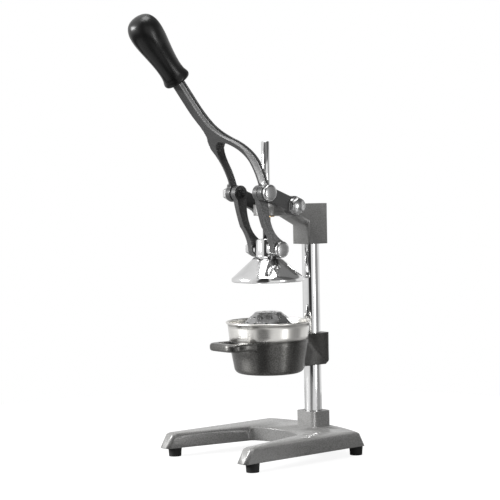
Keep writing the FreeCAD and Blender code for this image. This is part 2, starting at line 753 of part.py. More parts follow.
def grip():
    """Turned handle on the lever's tang: flared collar, waist and bulb."""
    end, along = bar_end()
    waist = grip_length * 0.2
    widest = grip_length * 0.74
    collar = [Vector(grip_neck_radius * 0.55, 0, 0), Vector(grip_collar_radius - 1, 0, 0),
              Vector(grip_collar_radius, 0, 2.0)]
    flank = Part.BSplineCurve()
    flank.interpolate([collar[-1], Vector(grip_neck_radius + 0.7, 0, grip_collar_height),
                       Vector(grip_neck_radius, 0, waist),
                       Vector(grip_neck_radius * 1.2, 0, grip_length * 0.48),
                       Vector(grip_bulb_radius, 0, widest),
                       Vector(grip_bulb_radius * 0.86, 0, grip_length * 0.91)])
    edge = flank.EndPoint
    ball_z = (grip_length ** 2 - edge.z ** 2 - edge.x ** 2) / (2 * (grip_length - edge.z))
    ball = grip_length - ball_z
    halfway = math.atan2(edge.x, edge.z - ball_z) / 2
    crown = Part.Arc(edge, Vector(ball * math.sin(halfway), 0, ball_z + ball * math.cos(halfway)),
                     Vector(0, 0, grip_length)).toShape()
    edges = [Part.LineSegment(Vector(0, 0, 0), collar[0]).toShape(),
             Part.LineSegment(collar[0], collar[1]).toShape(),
             Part.LineSegment(collar[1], collar[2]).toShape(), flank.toShape(), crown,
             Part.LineSegment(Vector(0, 0, grip_length), Vector(0, 0, 0)).toShape()]
    body = Part.Face(Part.Wire(edges)).revolve(Vector(0, 0, 0), Vector(0, 0, 1), 360)
    body = body.cut(rod_z(tang_diameter / 2 + seat_gap, -1, tang_length - tang_root + side_gap))
    body.Placement = FreeCAD.Placement(end, FreeCAD.Rotation(Vector(0, 0, 1), along))
    return body


# Links between the elbows and the ram
def link_plate():
    front = [side(y, ram_pivot_z + rise) for y, rise in link_front_edge]
    rear = [side(y, ram_pivot_z + rise) for y, rise in link_rear_edge]
    outline = chain([
        front[0],
        ("arc", front[1], front[2]),
        ("arc", front[3], side(-link_bottom_eye, ram_pivot_z)),
        side(0, ram_pivot_z - link_bottom_eye / 3),
        rear[0],
        rear[1],
        ("arc", rear[2], rear[3]),
        ("arc", rear[4], rear[5]),
    ])
    plate = side_plate(outline, link_inner, link_outer)
    plate = plate.fuse(rod_x(link_top_eye, link_inner, link_outer, elbow_y, elbow_z))
    plate = plate.fuse(rod_x(link_bottom_eye, link_inner, link_outer, 0, ram_pivot_z))
    plate = plate.cut(rod_x(journal_shank_radius + seat_gap, 0, span, elbow_y, elbow_z))
    plate = plate.cut(rod_x(pivot_bolt_diameter / 2 + running_gap, 0, span, 0, ram_pivot_z))
    return plate.removeSplitter()


def link_journal():
    """Pin pressed through a link's upper eye, whose end runs in the lever's slot."""
    pin = rod_x(journal_flange_radius, link_inner - journal_flange, link_inner, elbow_y, elbow_z)
    pin = pin.fuse(rod_x(journal_shank_radius, link_inner, lever_inner - side_gap, elbow_y, elbow_z))
    pin = pin.fuse(rod_x(journal_diameter / 2, link_outer, lever_inner + journal_reach, elbow_y, elbow_z))
    return pin.removeSplitter()


def link_spacer():
    """Thick washer between link and lever."""
    return washer_x(link_outer, lever_inner - side_gap, link_top_eye - 2,
                    journal_shank_radius + seat_gap, elbow_y, elbow_z)


# Ram: rod, bell and the bolt that the links hang on
def ram_rod():
    body = rod_z(rod_radius, neck_top_z - rod_thread_depth, rod_top_z)
    return body.makeChamfer(rod_chamfer, top_rims(body, rod_top_z))


def press_bell():
    """Hollow cone on a thick neck, which pushes the fruit down."""
    rim = bell_diameter / 2
    slope = (bell_shoulder_z - bell_rim_z - bell_rim_height) / (rim - bell_shoulder_radius)
    inner_top_z = bell_shoulder_z - bell_wall * 1.4
    inner_rim = rim - bell_wall * 0.6
    inner_top = inner_rim - (inner_top_z - bell_rim_z) / slope
    neck = neck_diameter / 2
    outline = [(0, inner_top_z), (inner_top, inner_top_z), (inner_rim, bell_rim_z), (rim - 0.8, bell_rim_z),
               (rim, bell_rim_z + 0.8), (rim, bell_rim_z + bell_rim_height),
               (bell_shoulder_radius, bell_shoulder_z),
               ("arc", (neck + 0.7, bell_shoulder_z + 1.2), (neck, bell_shoulder_z + 3.5)),
               (neck, neck_top_z - 1), (neck - 1, neck_top_z), (0, neck_top_z)]
    body = revolve_z(outline)
    body = body.fuse(rod_x(pivot_boss_diameter / 2, -pivot_boss_half, pivot_boss_half, 0, ram_pivot_z))
    body = body.cut(rod_z(rod_radius + seat_gap, neck_top_z - rod_thread_depth, neck_top_z + 1))
    return body.cut(rod_x(pivot_bolt_diameter / 2 + seat_gap, -span, span, 0, ram_pivot_z))


def ram_spacers():
    """Washers between the pivot boss and the links."""
    return on_both_sides(washer_x(pivot_boss_half, link_inner - side_gap, pivot_boss_diameter / 2 - 1,
                                  pivot_bolt_diameter / 2 + seat_gap, 0, ram_pivot_z))


def ram_bolt():
    """Bolt through neck and links, with its round head on the near side."""
    near = link_outer + side_gap
    far = -link_outer - side_gap - washer_thickness - nut_height
    shank = rod_x(pivot_bolt_diameter / 2, far - bolt_end, near + 1, 0, ram_pivot_z)
    return shank.fuse(button_head(near, 0, ram_pivot_z)).removeSplitter()


def ram_washer():
    seat = -link_outer - side_gap
    return washer_x(seat - washer_thickness, seat, link_bottom_eye - 1.5,
                    pivot_bolt_diameter / 2 + seat_gap, 0, ram_pivot_z)


def ram_nut():
    return nut_x(-link_outer - side_gap - washer_thickness, pivot_bolt_diameter / 2, 0, ram_pivot_z)


# Pot holder
def pot_inside():
    """The pot's hollow with room for the cup above the rim, and a floor that falls to the outlet."""
    slope = (pot_rim_radius - pot_bottom_radius) / (pot_rim_z - pot_bottom_z)
    floor_z = pot_bottom_z + pot_floor
    floor_radius = pot_bottom_radius + slope * pot_floor - pot_wall - pot_step
    wall_low = pot_bottom_radius + slope * (pot_floor + pot_step) - pot_wall
    bend = pot_step * 0.3
    room = cup_top_radius
    top = clamp_top_z + 1
    return revolve_z([(0, floor_z - 2), (outlet_radius, floor_z - 2), (floor_radius, floor_z),
                      ("arc", (wall_low - bend, floor_z + bend), (wall_low, floor_z + pot_step)),
                      (pot_rim_radius - pot_wall, pot_rim_z), (room, pot_rim_z), (room, top), (0, top)])


def pot_holder():
    radius = pot_bottom_radius
    body = revolve_z([(0, pot_bottom_z), (radius - pot_round, pot_bottom_z),
                      ("arc", (radius - pot_round * 0.27, pot_bottom_z + pot_round * 0.32),
                       (radius + 1, pot_bottom_z + pot_round)),
                      (pot_rim_radius, pot_rim_z - pot_edge), (pot_rim_radius - pot_edge, pot_rim_z),
                      (0, pot_rim_z)])

    # block round the post, with a sloped lower rear edge
    front = pot_bottom_radius - pot_wall
    back = post_y + clamp_depth / 2
    half = clamp_width / 2
    outline = chain([side(front, clamp_bottom_z), side(back - clamp_slope_depth, clamp_bottom_z),
                     side(back, clamp_bottom_z + clamp_slope_height), side(back, clamp_top_z),
                     side(post_y - clamp_depth / 2, clamp_top_z), side(front, pot_rim_z - pot_edge)])
    block = side_plate(outline, -half, half)
    block = block.makeFillet(clamp_round, upright_edges(block, half, back - 0.1, back + 0.1))
    body = body.fuse(block)
    body = body.fuse(ear())
    body = body.cut(pot_inside())
    body = body.cut(rod_z(outlet_radius, pot_bottom_z - 1, pot_rim_z))
    body = body.cut(rod_z(post_radius + seat_gap, 0, clamp_top_z + 1, 0, post_y))
    for z in pot_screw_heights:
        body = body.cut(rod_y(set_screw_diameter / 2 + seat_gap, post_y, back + 1, 0, z))
    return body.removeSplitter()


def ear():
    """Loop handle on the pot's front."""
    top = pot_rim_z - ear_top_drop
    bottom = top - ear_height
    root = -(pot_bottom_radius - 6)
    loop = box(-ear_half_width, ear_half_width, -ear_reach, root, bottom, top)
    corners = upright_edges(loop, ear_half_width + 1, -ear_reach - 1, -ear_reach + 1)
    loop = loop.makeFillet(ear_bar * 1.3, corners)
    gap = box(-ear_half_width + ear_bar, ear_half_width - ear_bar, -ear_reach + ear_bar,
              root, bottom - 1, top + 1)
    corners = upright_edges(gap, ear_half_width, -ear_reach, -ear_reach + ear_bar + 1)
    gap = gap.makeFillet(ear_bar * 0.45, corners)
    rims = [e for e in loop.Edges if e.BoundBox.ZLength < 0.01 and e.BoundBox.YMin < root - 1]
    loop = loop.makeFillet(ear_round, rims)
    return loop.cut(gap)


# Strainer cup and strainer cone, pressed from sheet
def strainer_cup():
    low_radius = pot_rim_radius - pot_wall - cup_gap
    slope = (pot_rim_radius - pot_bottom_radius) / (pot_rim_z - pot_bottom_z)
    foot_radius = low_radius - slope * (pot_rim_z - cup_floor_z)
    roll = cup_rim_radius - lip_radius
    outline = [
        (spout_radius - sheet, cup_floor_z - spout_length), (spout_radius, cup_floor_z - spout_length),
        (spout_radius, cup_floor_z), (foot_radius - 4, cup_floor_z),
        ("arc", (foot_radius - 1.2, cup_floor_z + 1.2), (foot_radius, cup_floor_z + 4)),
        (low_radius, pot_rim_z), (cup_shoulder_radius, pot_rim_z),
        (cup_top_radius, cup_rim_z - lip_radius * 1.6),
        ("arc", (cup_rim_radius, cup_rim_z - lip_radius), (roll, cup_rim_z)),
        ("arc", (cup_top_radius - sheet * 0.6, cup_rim_z - lip_radius * 0.45),
         (cup_top_radius - sheet, cup_rim_z - lip_radius * 1.6)),
        (cup_shoulder_radius - sheet, shoulder_z), (low_radius - sheet, shoulder_z),
        (foot_radius - sheet, cup_floor_z + 4 + sheet / 2),
        ("arc", (foot_radius - 1.2 - sheet, cup_floor_z + 1.2 + sheet),
         (foot_radius - 4, cup_floor_z + sheet)),
        (spout_radius - sheet, cup_floor_z + sheet),
    ]
    return revolve_z(outline)


def strainer_cone():
    """Perforated cone that the half fruit is pressed on; its flange lies on the cup's shoulder."""
    flange = cup_shoulder_radius - sheet - cup_gap
    lower = shoulder_z
    upper = cone_top_z
    crown = cone_crown
    brow = cone_top_radius + cone_flare
    outline = [(0, upper), (cone_top_radius - crown, upper),
               ("arc", (cone_top_radius - crown * 0.2, upper - crown * 0.3), (brow, upper - crown)),
               ("arc", (cone_middle_radius, cone_middle_z), (cone_base_radius, lower + sheet)),
               (flange, lower + sheet), (flange, lower), (cone_base_radius - sheet * 0.6, lower),
               ("arc", (cone_middle_radius - sheet * 0.7, cone_middle_z - sheet * 0.7),
                (brow - sheet * 0.8, upper - crown - sheet * 0.6)),
               (cone_top_radius - crown, upper - sheet), (0, upper - sheet)]
    body = revolve_z(outline)
    flank = Part.Arc(Vector(brow, 0, upper - crown), Vector(cone_middle_radius, 0, cone_middle_z),
                     Vector(cone_base_radius, 0, lower + sheet)).toShape()
    for ring in range(hole_rings):
        share = (ring + 0.7) / (hole_rings + 0.5)
        place = flank.FirstParameter + (flank.LastParameter - flank.FirstParameter) * share
        spot = flank.valueAt(place)
        along = flank.tangentAt(place)
        tilt = math.atan2(abs(along.x), abs(along.z))
        for k in range(holes_per_ring):
            angle = math.radians(360 * (k + 0.5 * (ring % 2)) / holes_per_ring)
            around = Vector(math.cos(angle), math.sin(angle), 0)
            outward = around * math.cos(tilt) + Vector(0, 0, math.sin(tilt))
            start = around * spot.x + Vector(0, 0, spot.z) - outward * 2 * sheet
            body = body.cut(Part.makeCylinder(hole_diameter / 2, 4 * sheet, start, outward))
    for k in range(top_holes):
        angle = math.radians(360 * k / top_holes)
        body = body.cut(rod_z(hole_diameter / 2, upper - 2 * sheet, upper + 1,
                              top_hole_circle * math.cos(angle), top_hole_circle * math.sin(angle)))
    return body


nodes = {
    "base_casting": [base_casting()],
    "rubber_feet": rubber_feet(),
    "foot_screws": foot_screws(),
    "post": [post()],
    "post_bolt": [post_bolt()],
    "post_washer": [post_washer()],
    "head_casting": [head_casting()],
    "guide_bush": [guide_bush()],
    "head_set_screws": set_screws(head_screw_heights, post_y + head_depth / 2),
    "fulcrum_bolt": [fulcrum_bolt()],
    "fulcrum_washers": fulcrum_washers(),
    "fulcrum_nut": [fulcrum_nut()],
    "pot_holder": [pot_holder()],
    "pot_set_screws": set_screws(pot_screw_heights, post_y + clamp_depth / 2),
    "strainer_cup": [strainer_cup()],
    "strainer_cone": [strainer_cone()],
    "lever_casting": [lever_casting()],
    "grip": [grip()],
    "elbow_bolt": [elbow_bolt()],
    "elbow_stud": [elbow_stud()],
    "elbow_washer": [elbow_washer()],
    "elbow_nut": [elbow_nut()],
    "link_near": [link_plate()],
    "link_far": [on_both_sides(link_plate())[1]],
    "link_journals": on_both_sides(link_journal()),
    "link_spacers": on_both_sides(link_spacer()),
    "ram_rod": [ram_rod()],
    "press_bell": [press_bell()],
    "ram_spacers": ram_spacers(),
    "ram_bolt": [ram_bolt()],
    "ram_washer": [ram_washer()],
    "ram_nut": [ram_nut()],
}

whole = Part.makeCompound([shape for shapes in nodes.values() for shape in shapes]).BoundBox
to_origin = Vector(0, -(whole.YMin + whole.YMax) / 2, 0)

os.makedirs("parts", exist_ok=True)
for name, shapes in nodes.items():
    piece = shapes[0] if len(shapes) == 1 else Part.makeCompound(shapes)
    piece.translate(to_origin)
    piece.exportStep("parts/" + name + ".step")

slot_y, slot_z = journal_slot_end()
print("moved along Y by", round(to_origin.y, 3))
print("stroke", round(ram_pivot_z - ram_height(lever_travel), 3))
print("link swing in degrees", round(math.degrees(link_tilt(lever_travel) - link_tilt(0)), 3))
print("slot end from elbow", round(slot_y - elbow_y, 2), round(slot_z - elbow_z, 2))
print("box", whole)
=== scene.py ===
import json
import math

import bpy
import bmesh
import numpy as np
from mathutils import Matrix, Vector


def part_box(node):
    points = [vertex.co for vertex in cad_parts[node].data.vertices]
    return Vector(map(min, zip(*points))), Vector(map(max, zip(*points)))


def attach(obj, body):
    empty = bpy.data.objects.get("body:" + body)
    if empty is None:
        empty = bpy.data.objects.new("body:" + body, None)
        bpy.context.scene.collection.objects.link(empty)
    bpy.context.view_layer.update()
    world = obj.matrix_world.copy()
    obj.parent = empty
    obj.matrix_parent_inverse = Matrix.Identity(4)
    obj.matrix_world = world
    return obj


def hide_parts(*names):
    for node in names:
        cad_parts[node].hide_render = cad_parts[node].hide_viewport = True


# Lever citrus juice press: base, post and head, lever with grip, links, ram with its bell, pot and strainer.
# Metres, Z up, the user stands at -Y. Every piece keeps its place in its mesh.

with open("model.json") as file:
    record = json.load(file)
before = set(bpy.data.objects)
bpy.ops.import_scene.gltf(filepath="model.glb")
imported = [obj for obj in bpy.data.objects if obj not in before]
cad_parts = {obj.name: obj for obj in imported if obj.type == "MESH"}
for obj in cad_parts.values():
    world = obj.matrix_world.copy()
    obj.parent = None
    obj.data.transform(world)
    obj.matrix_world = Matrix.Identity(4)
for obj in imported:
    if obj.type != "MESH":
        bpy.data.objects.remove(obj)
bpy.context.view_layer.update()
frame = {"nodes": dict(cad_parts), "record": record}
mm = 0.001
print("frame loaded:", len(frame["nodes"]), "nodes")

cupLow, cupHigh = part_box("strainer_cup")
pressAxis = Vector((0.0, (cupLow.y + cupHigh.y) / 2, 0.0))  # the ram, pot, cup and cone stand on it


# small helpers for node trees
def addNode(tree, kind, settings=None, values=None):
    node = tree.nodes.new(kind)
    for key, value in (settings or {}).items():
        setattr(node, key, value)
    for key, value in (values or {}).items():
        if isinstance(value, bpy.types.NodeSocket):
            tree.links.new(value, node.inputs[key])
        else:
            node.inputs[key].default_value = value
    return node


def calc(tree, operation, *values):
    node = addNode(tree, "ShaderNodeMath", {"operation": operation}, dict(enumerate(values)))
    return node.outputs[0]


def remap(tree, value, low, high, newLow=0.0, newHigh=1.0):
    node = addNode(tree, "ShaderNodeMapRange", {"interpolation_type": "SMOOTHSTEP"},
                   {"Value": value, "From Min": low, "From Max": high, "To Min": newLow, "To Max": newHigh})
    return node.outputs["Result"]


def spread(tree, value, low, high):
    return addNode(tree, "ShaderNodeMapRange", None, {"Value": value, "To Min": low, "To Max": high}).outputs[0]


def objectPlace(tree):
    return addNode(tree, "ShaderNodeTexCoord").outputs["Object"]


def surfaceNormal(tree):
    return addNode(tree, "ShaderNodeNewGeometry").outputs["Normal"]


def axisOf(tree, vector, axis):
    return addNode(tree, "ShaderNodeSeparateXYZ", None, {0: vector}).outputs[axis]


def mixColor(tree, amount, first, second):
    node = addNode(tree, "ShaderNodeMix", {"data_type": "RGBA"}, {"Factor": amount})
    for socket, value in ((node.inputs[6], first), (node.inputs[7], second)):
        if isinstance(value, bpy.types.NodeSocket):
            tree.links.new(value, socket)
        else:
            socket.default_value = value
    return node.outputs[2]


def newGroup(name, kind, inputs, outputs):
    tree = bpy.data.node_groups.new(name, kind)
    for label, socketType, default in inputs:
        socket = tree.interface.new_socket(name=label, in_out="INPUT", socket_type=socketType)
        if default is not None:
            socket.default_value = default
    for label, socketType in outputs:
        tree.interface.new_socket(name=label, in_out="OUTPUT", socket_type=socketType)
    return tree, tree.nodes.new("NodeGroupInput").outputs, tree.nodes.new("NodeGroupOutput").inputs


floatSocket, colorSocket, vectorSocket = "NodeSocketFloat", "NodeSocketColor", "NodeSocketVector"


# hammered paint: small round pebbles over a broad, slow change of tone
hammerSizes = {"warpScale": 160.0, "warp": 0.0016, "softness": 0.55, "fineTimes": 2.6, "broadScale": 14.0,
               "pebbleEdge": 0.75, "finePart": 0.5, "pebblePart": 0.55, "broadPart": 0.5, "lower": 0.28,
               "toneLow": 0.05, "toneHigh": 0.8, "fineHeight": 0.2}


def makeHammerSkin(sizes):
    tree, given, out = newGroup(
        "hammerSkin", "ShaderNodeTree",
        [("Pebble Scale", floatSocket, 420.0), ("Dark", colorSocket, (0.1, 0.1, 0.1, 1)),
         ("Light", colorSocket, (0.3, 0.3, 0.3, 1)), ("Smooth", floatSocket, 0.3), ("Rough", floatSocket, 0.5)],
        [("Color", colorSocket), ("Roughness", floatSocket), ("Height", floatSocket)])
    place = objectPlace(tree)
    warp = addNode(tree, "ShaderNodeTexNoise", None,
                   {"Vector": place, "Scale": sizes["warpScale"], "Detail": 2.0})
    shifted = addNode(tree, "ShaderNodeVectorMath", {"operation": "MULTIPLY_ADD"},
                      {0: warp.outputs["Color"], 1: (sizes["warp"],) * 3, 2: place}).outputs[0]
    pebbles = addNode(tree, "ShaderNodeTexVoronoi", {"feature": "SMOOTH_F1"},
                      {"Vector": shifted, "Scale": given["Pebble Scale"], "Smoothness": sizes["softness"]})
    fineScale = calc(tree, "MULTIPLY", given["Pebble Scale"], sizes["fineTimes"])
    fine = addNode(tree, "ShaderNodeTexNoise", None, {"Vector": place, "Scale": fineScale, "Detail": 3.0})
    broad = addNode(tree, "ShaderNodeTexNoise", None,
                    {"Vector": place, "Scale": sizes["broadScale"], "Detail": 3.0})
    bump = remap(tree, pebbles.outputs["Distance"], 0.0, sizes["pebbleEdge"], 1.0, 0.0)
    tone = calc(tree, "MULTIPLY_ADD", fine.outputs["Fac"], sizes["finePart"],
                calc(tree, "MULTIPLY", bump, sizes["pebblePart"]))
    tone = calc(tree, "MULTIPLY_ADD", broad.outputs["Fac"], sizes["broadPart"],
                calc(tree, "SUBTRACT", tone, sizes["lower"]))
    tone = remap(tree, tone, sizes["toneLow"], sizes["toneHigh"])
    tree.links.new(mixColor(tree, tone, given["Dark"], given["Light"]), out["Color"])
    tree.links.new(spread(tree, tone, given["Rough"], given["Smooth"]), out["Roughness"])
    tree.links.new(calc(tree, "MULTIPLY_ADD", fine.outputs["Fac"], sizes["fineHeight"], bump), out["Height"])
    return tree


# soft corners, and where paint or plating is rubbed thin along them
rubSizes = {"samples": 6, "turnFrom": 0.015, "turnTo": 0.22, "patchDetail": 4.0, "patchRough": 0.7,
            "patchLow": 0.35, "patchHigh": 0.65}


def makeEdgeRub(sizes):
    tree, given, out = newGroup("edgeRub", "ShaderNodeTree",
                                [("Reach", floatSocket, 0.0012), ("Breakup", floatSocket, 90.0)],
                                [("Mask", floatSocket), ("Normal", vectorSocket)])
    rounded = addNode(tree, "ShaderNodeBevel", {"samples": sizes["samples"]},
                      {"Radius": given["Reach"]}).outputs[0]
    turn = addNode(tree, "ShaderNodeVectorMath", {"operation": "DOT_PRODUCT"},
                   {0: rounded, 1: surfaceNormal(tree)}).outputs["Value"]
    edge = remap(tree, calc(tree, "SUBTRACT", 1.0, turn), sizes["turnFrom"], sizes["turnTo"])
    patches = addNode(tree, "ShaderNodeTexNoise", None,
                      {"Vector": objectPlace(tree), "Scale": given["Breakup"],
                       "Detail": sizes["patchDetail"], "Roughness": sizes["patchRough"]})
    patch = remap(tree, patches.outputs["Fac"], sizes["patchLow"], sizes["patchHigh"])
    tree.links.new(calc(tree, "MULTIPLY", edge, patch), out["Mask"])
    tree.links.new(rounded, out["Normal"])
    return tree


# fine dust that settles on what faces up
dustSizes = {"scale": 55.0, "detail": 5.0, "levelFrom": 0.55, "levelTo": 1.0, "driftLow": 0.3, "driftHigh": 0.75}


def makeRestingDust(sizes):
    tree, given, out = newGroup("restingDust", "ShaderNodeTree", [("Amount", floatSocket, 0.2)],
                                [("Mask", floatSocket)])
    facing = axisOf(tree, surfaceNormal(tree), "Z")
    drift = addNode(tree, "ShaderNodeTexNoise", None,
                    {"Vector": objectPlace(tree), "Scale": sizes["scale"], "Detail": sizes["detail"]})
    film = calc(tree, "MULTIPLY", remap(tree, facing, sizes["levelFrom"], sizes["levelTo"]),
                remap(tree, drift.outputs["Fac"], sizes["driftLow"], sizes["driftHigh"]))
    tree.links.new(calc(tree, "MULTIPLY", film, given["Amount"]), out["Mask"])
    return tree


# lines left by turning or spinning round an upright axis
lineSizes = {"sweep": 0.0012, "detail": 3.0, "roughness": 0.6}


def makeTurnedLines(sizes):
    tree, given, out = newGroup("turnedLines", "ShaderNodeTree",
                                [("Axis", vectorSocket, (0.0, 0.0, 0.0)), ("Fineness", floatSocket, 2600.0)],
                                [("Lines", floatSocket)])
    local = addNode(tree, "ShaderNodeVectorMath", {"operation": "SUBTRACT"},
                    {0: objectPlace(tree), 1: given["Axis"]}).outputs[0]
    parts = addNode(tree, "ShaderNodeSeparateXYZ", None, {0: local}).outputs
    radius = calc(tree, "SQRT", calc(tree, "ADD", calc(tree, "MULTIPLY", parts["X"], parts["X"]),
                                     calc(tree, "MULTIPLY", parts["Y"], parts["Y"])))
    sweep = calc(tree, "MULTIPLY", calc(tree, "ARCTAN2", parts["Y"], parts["X"]), sizes["sweep"])
    path = addNode(tree, "ShaderNodeCombineXYZ", None, {"X": radius, "Y": sweep, "Z": parts["Z"]}).outputs[0]
    lines = addNode(tree, "ShaderNodeTexNoise", None,
                    {"Vector": path, "Scale": given["Fineness"], "Detail": sizes["detail"],
                     "Roughness": sizes["roughness"]})
    tree.links.new(lines.outputs["Fac"], out["Lines"])
    return tree


# smears of handling: roughness that drifts between two values
smearSizes = {"detail": 5.0, "distortion": 0.6, "low": 0.35, "high": 0.7}


def makeHandSmear(sizes):
    tree, given, out = newGroup(
        "handSmear", "ShaderNodeTree",
        [("Size", floatSocket, 40.0), ("Clean", floatSocket, 0.1), ("Dull", floatSocket, 0.2)],
        [("Roughness", floatSocket), ("Mask", floatSocket)])
    smear = addNode(tree, "ShaderNodeTexNoise", None,
                    {"Vector": objectPlace(tree), "Scale": given["Size"], "Detail": sizes["detail"],
                     "Distortion": sizes["distortion"]})
    mask = remap(tree, smear.outputs["Fac"], sizes["low"], sizes["high"])
    tree.links.new(mask, out["Mask"])
    tree.links.new(spread(tree, mask, given["Clean"], given["Dull"]), out["Roughness"])
    return tree


# painted light: the outward-facing sides of the lever and links are brightened, as if lit from the side
sideLightSizes = {"facingFrom": 0.1, "facingTo": 0.5}


def makeSidePaintedLight(sizes):
    tree, given, out = newGroup("outerSides", "ShaderNodeTree", [("Gain", floatSocket, 2.0)],
                                [("Factor", floatSocket)])
    facing = axisOf(tree, surfaceNormal(tree), "X")
    across = axisOf(tree, objectPlace(tree), "X")
    outward = remap(tree, calc(tree, "MULTIPLY", facing, calc(tree, "SIGN", across)),
                    sizes["facingFrom"], sizes["facingTo"])
    extra = calc(tree, "SUBTRACT", given["Gain"], 1.0)
    tree.links.new(calc(tree, "MULTIPLY_ADD", outward, extra, 1.0), out["Factor"])
    return tree


hammerSkin, edgeRub = makeHammerSkin(hammerSizes), makeEdgeRub(rubSizes)
restingDust, outerSides = makeRestingDust(dustSizes), makeSidePaintedLight(sideLightSizes)
turnedLines, handSmear = makeTurnedLines(lineSizes), makeHandSmear(smearSizes)


def useGroup(tree, group, values=None):
    node = addNode(tree, "ShaderNodeGroup", {"node_tree": group})
    for key, value in (values or {}).items():
        node.inputs[key].default_value = value
    return node.outputs


def newMaterial(name, shaderValues):
    material = bpy.data.materials.new(name)
    material.use_nodes = True
    tree = material.node_tree
    tree.nodes.clear()
    shader = addNode(tree, "ShaderNodeBsdfPrincipled", None, shaderValues)
    addNode(tree, "ShaderNodeOutputMaterial", None, {"Surface": shader.outputs["BSDF"]})
    return material, tree, shader


def grey(value, warm=0.0):
    return (value + warm, value + warm * 0.4, value - warm, 1.0)


# turned pieces spread a reflection across their lines: the shader's tangent runs up the wall
def spreadUpright(tree, shader, amount):
    local = addNode(tree, "ShaderNodeVectorMath", {"operation": "SUBTRACT"},
                    {0: objectPlace(tree), 1: pressAxis}).outputs[0]
    around = addNode(tree, "ShaderNodeVectorMath", {"operation": "CROSS_PRODUCT"},
                     {0: (0.0, 0.0, 1.0), 1: local}).outputs[0]
    upWall = addNode(tree, "ShaderNodeVectorMath", {"operation": "CROSS_PRODUCT"},
                     {0: surfaceNormal(tree), 1: around}).outputs[0]
    tree.links.new(upWall, shader.inputs["Tangent"])
    shader.inputs["Anisotropic"].default_value = amount


# painted castings: a sides value above 1 is painted light, brightening the outer sides; on the lever that
# painted highlight is kept to a band along its outer sides
paintLooks = {
    "castGrey": {"dark": grey(0.17, 0.003), "light": grey(0.31, 0.003), "smooth": 0.26, "rough": 0.40,
                 "metallic": 0.2, "pebbles": 640.0, "height": 0.00006, "rub": 0.0016, "bare": grey(0.6),
                 "dust": 0.06, "sides": 1.0, "lightBanded": False, "upright": 0.0},
    "leverGrey": {"dark": grey(0.032), "light": grey(0.062), "smooth": 0.30, "rough": 0.44,
                  "metallic": 0.15, "pebbles": 760.0, "height": 0.00004, "rub": 0.0, "bare": grey(0.55),
                  "dust": 0.02, "sides": 15.0, "lightBanded": True, "upright": 0.0},
    "linkGrey": {"dark": grey(0.045), "light": grey(0.11), "smooth": 0.28, "rough": 0.42,
                 "metallic": 0.4, "pebbles": 560.0, "height": 0.00008, "rub": 0.0014, "bare": grey(0.4),
                 "dust": 0.02, "sides": 3.2, "lightBanded": False, "upright": 0.0},
    "potBlack": {"dark": grey(0.070, 0.003), "light": grey(0.140, 0.003), "smooth": 0.34, "rough": 0.44,
                 "metallic": 0.95, "pebbles": 620.0, "height": 0.00003, "rub": 0.0012, "bare": grey(0.2),
                 "dust": 0.02, "sides": 1.0, "lightBanded": False, "upright": 0.85},
}
paintCoat = {"weight": 0.2, "rough": 0.18, "bump": 0.55, "rubBreakup": 110.0, "rubShare": 0.45,
             "dust": grey(0.45, 0.02)}


def makePaint(name, look):
    material, tree, shader = newMaterial(name, {"Metallic": look["metallic"], "Coat Weight": paintCoat["weight"],
                                                "Coat Roughness": paintCoat["rough"]})
    if look["upright"]:
        spreadUpright(tree, shader, look["upright"])
    skin = useGroup(tree, hammerSkin, {
        "Pebble Scale": look["pebbles"], "Dark": look["dark"], "Light": look["light"],
        "Smooth": look["smooth"], "Rough": look["rough"]})
    dust = useGroup(tree, restingDust, {"Amount": look["dust"]})
    bump = addNode(tree, "ShaderNodeBump", None, {
        "Strength": paintCoat["bump"], "Distance": look["height"], "Height": skin["Height"]})
    color = skin["Color"]
    # painted light: the colour of outward-facing sides is scaled up, and on the lever only along its painted
    # highlight band
    if look["sides"] != 1.0:
        gain = useGroup(tree, outerSides, {"Gain": look["sides"]})["Factor"]
        if look["lightBanded"]:
            lightBand = addNode(tree, "ShaderNodeAttribute", {"attribute_name": "thinPaint"}).outputs["Fac"]
            gain = calc(tree, "MULTIPLY_ADD", calc(tree, "SUBTRACT", gain, 1.0), lightBand, 1.0)
        color = addNode(tree, "ShaderNodeVectorMath", {"operation": "SCALE"},
                        {0: color, "Scale": gain}).outputs[0]
    if look["rub"]:
        edge = useGroup(tree, edgeRub, {"Reach": look["rub"], "Breakup": paintCoat["rubBreakup"]})
        rubbed = calc(tree, "MULTIPLY", edge["Mask"], paintCoat["rubShare"])
        color = mixColor(tree, rubbed, color, look["bare"])
        tree.links.new(edge["Normal"], bump.inputs["Normal"])
    dusty = mixColor(tree, dust["Mask"], color, paintCoat["dust"])
    tree.links.new(dusty, shader.inputs["Base Color"])
    tree.links.new(calc(tree, "ADD", skin["Roughness"], dust["Mask"]), shader.inputs["Roughness"])
    tree.links.new(bump.outputs["Normal"], shader.inputs["Normal"])
    return material


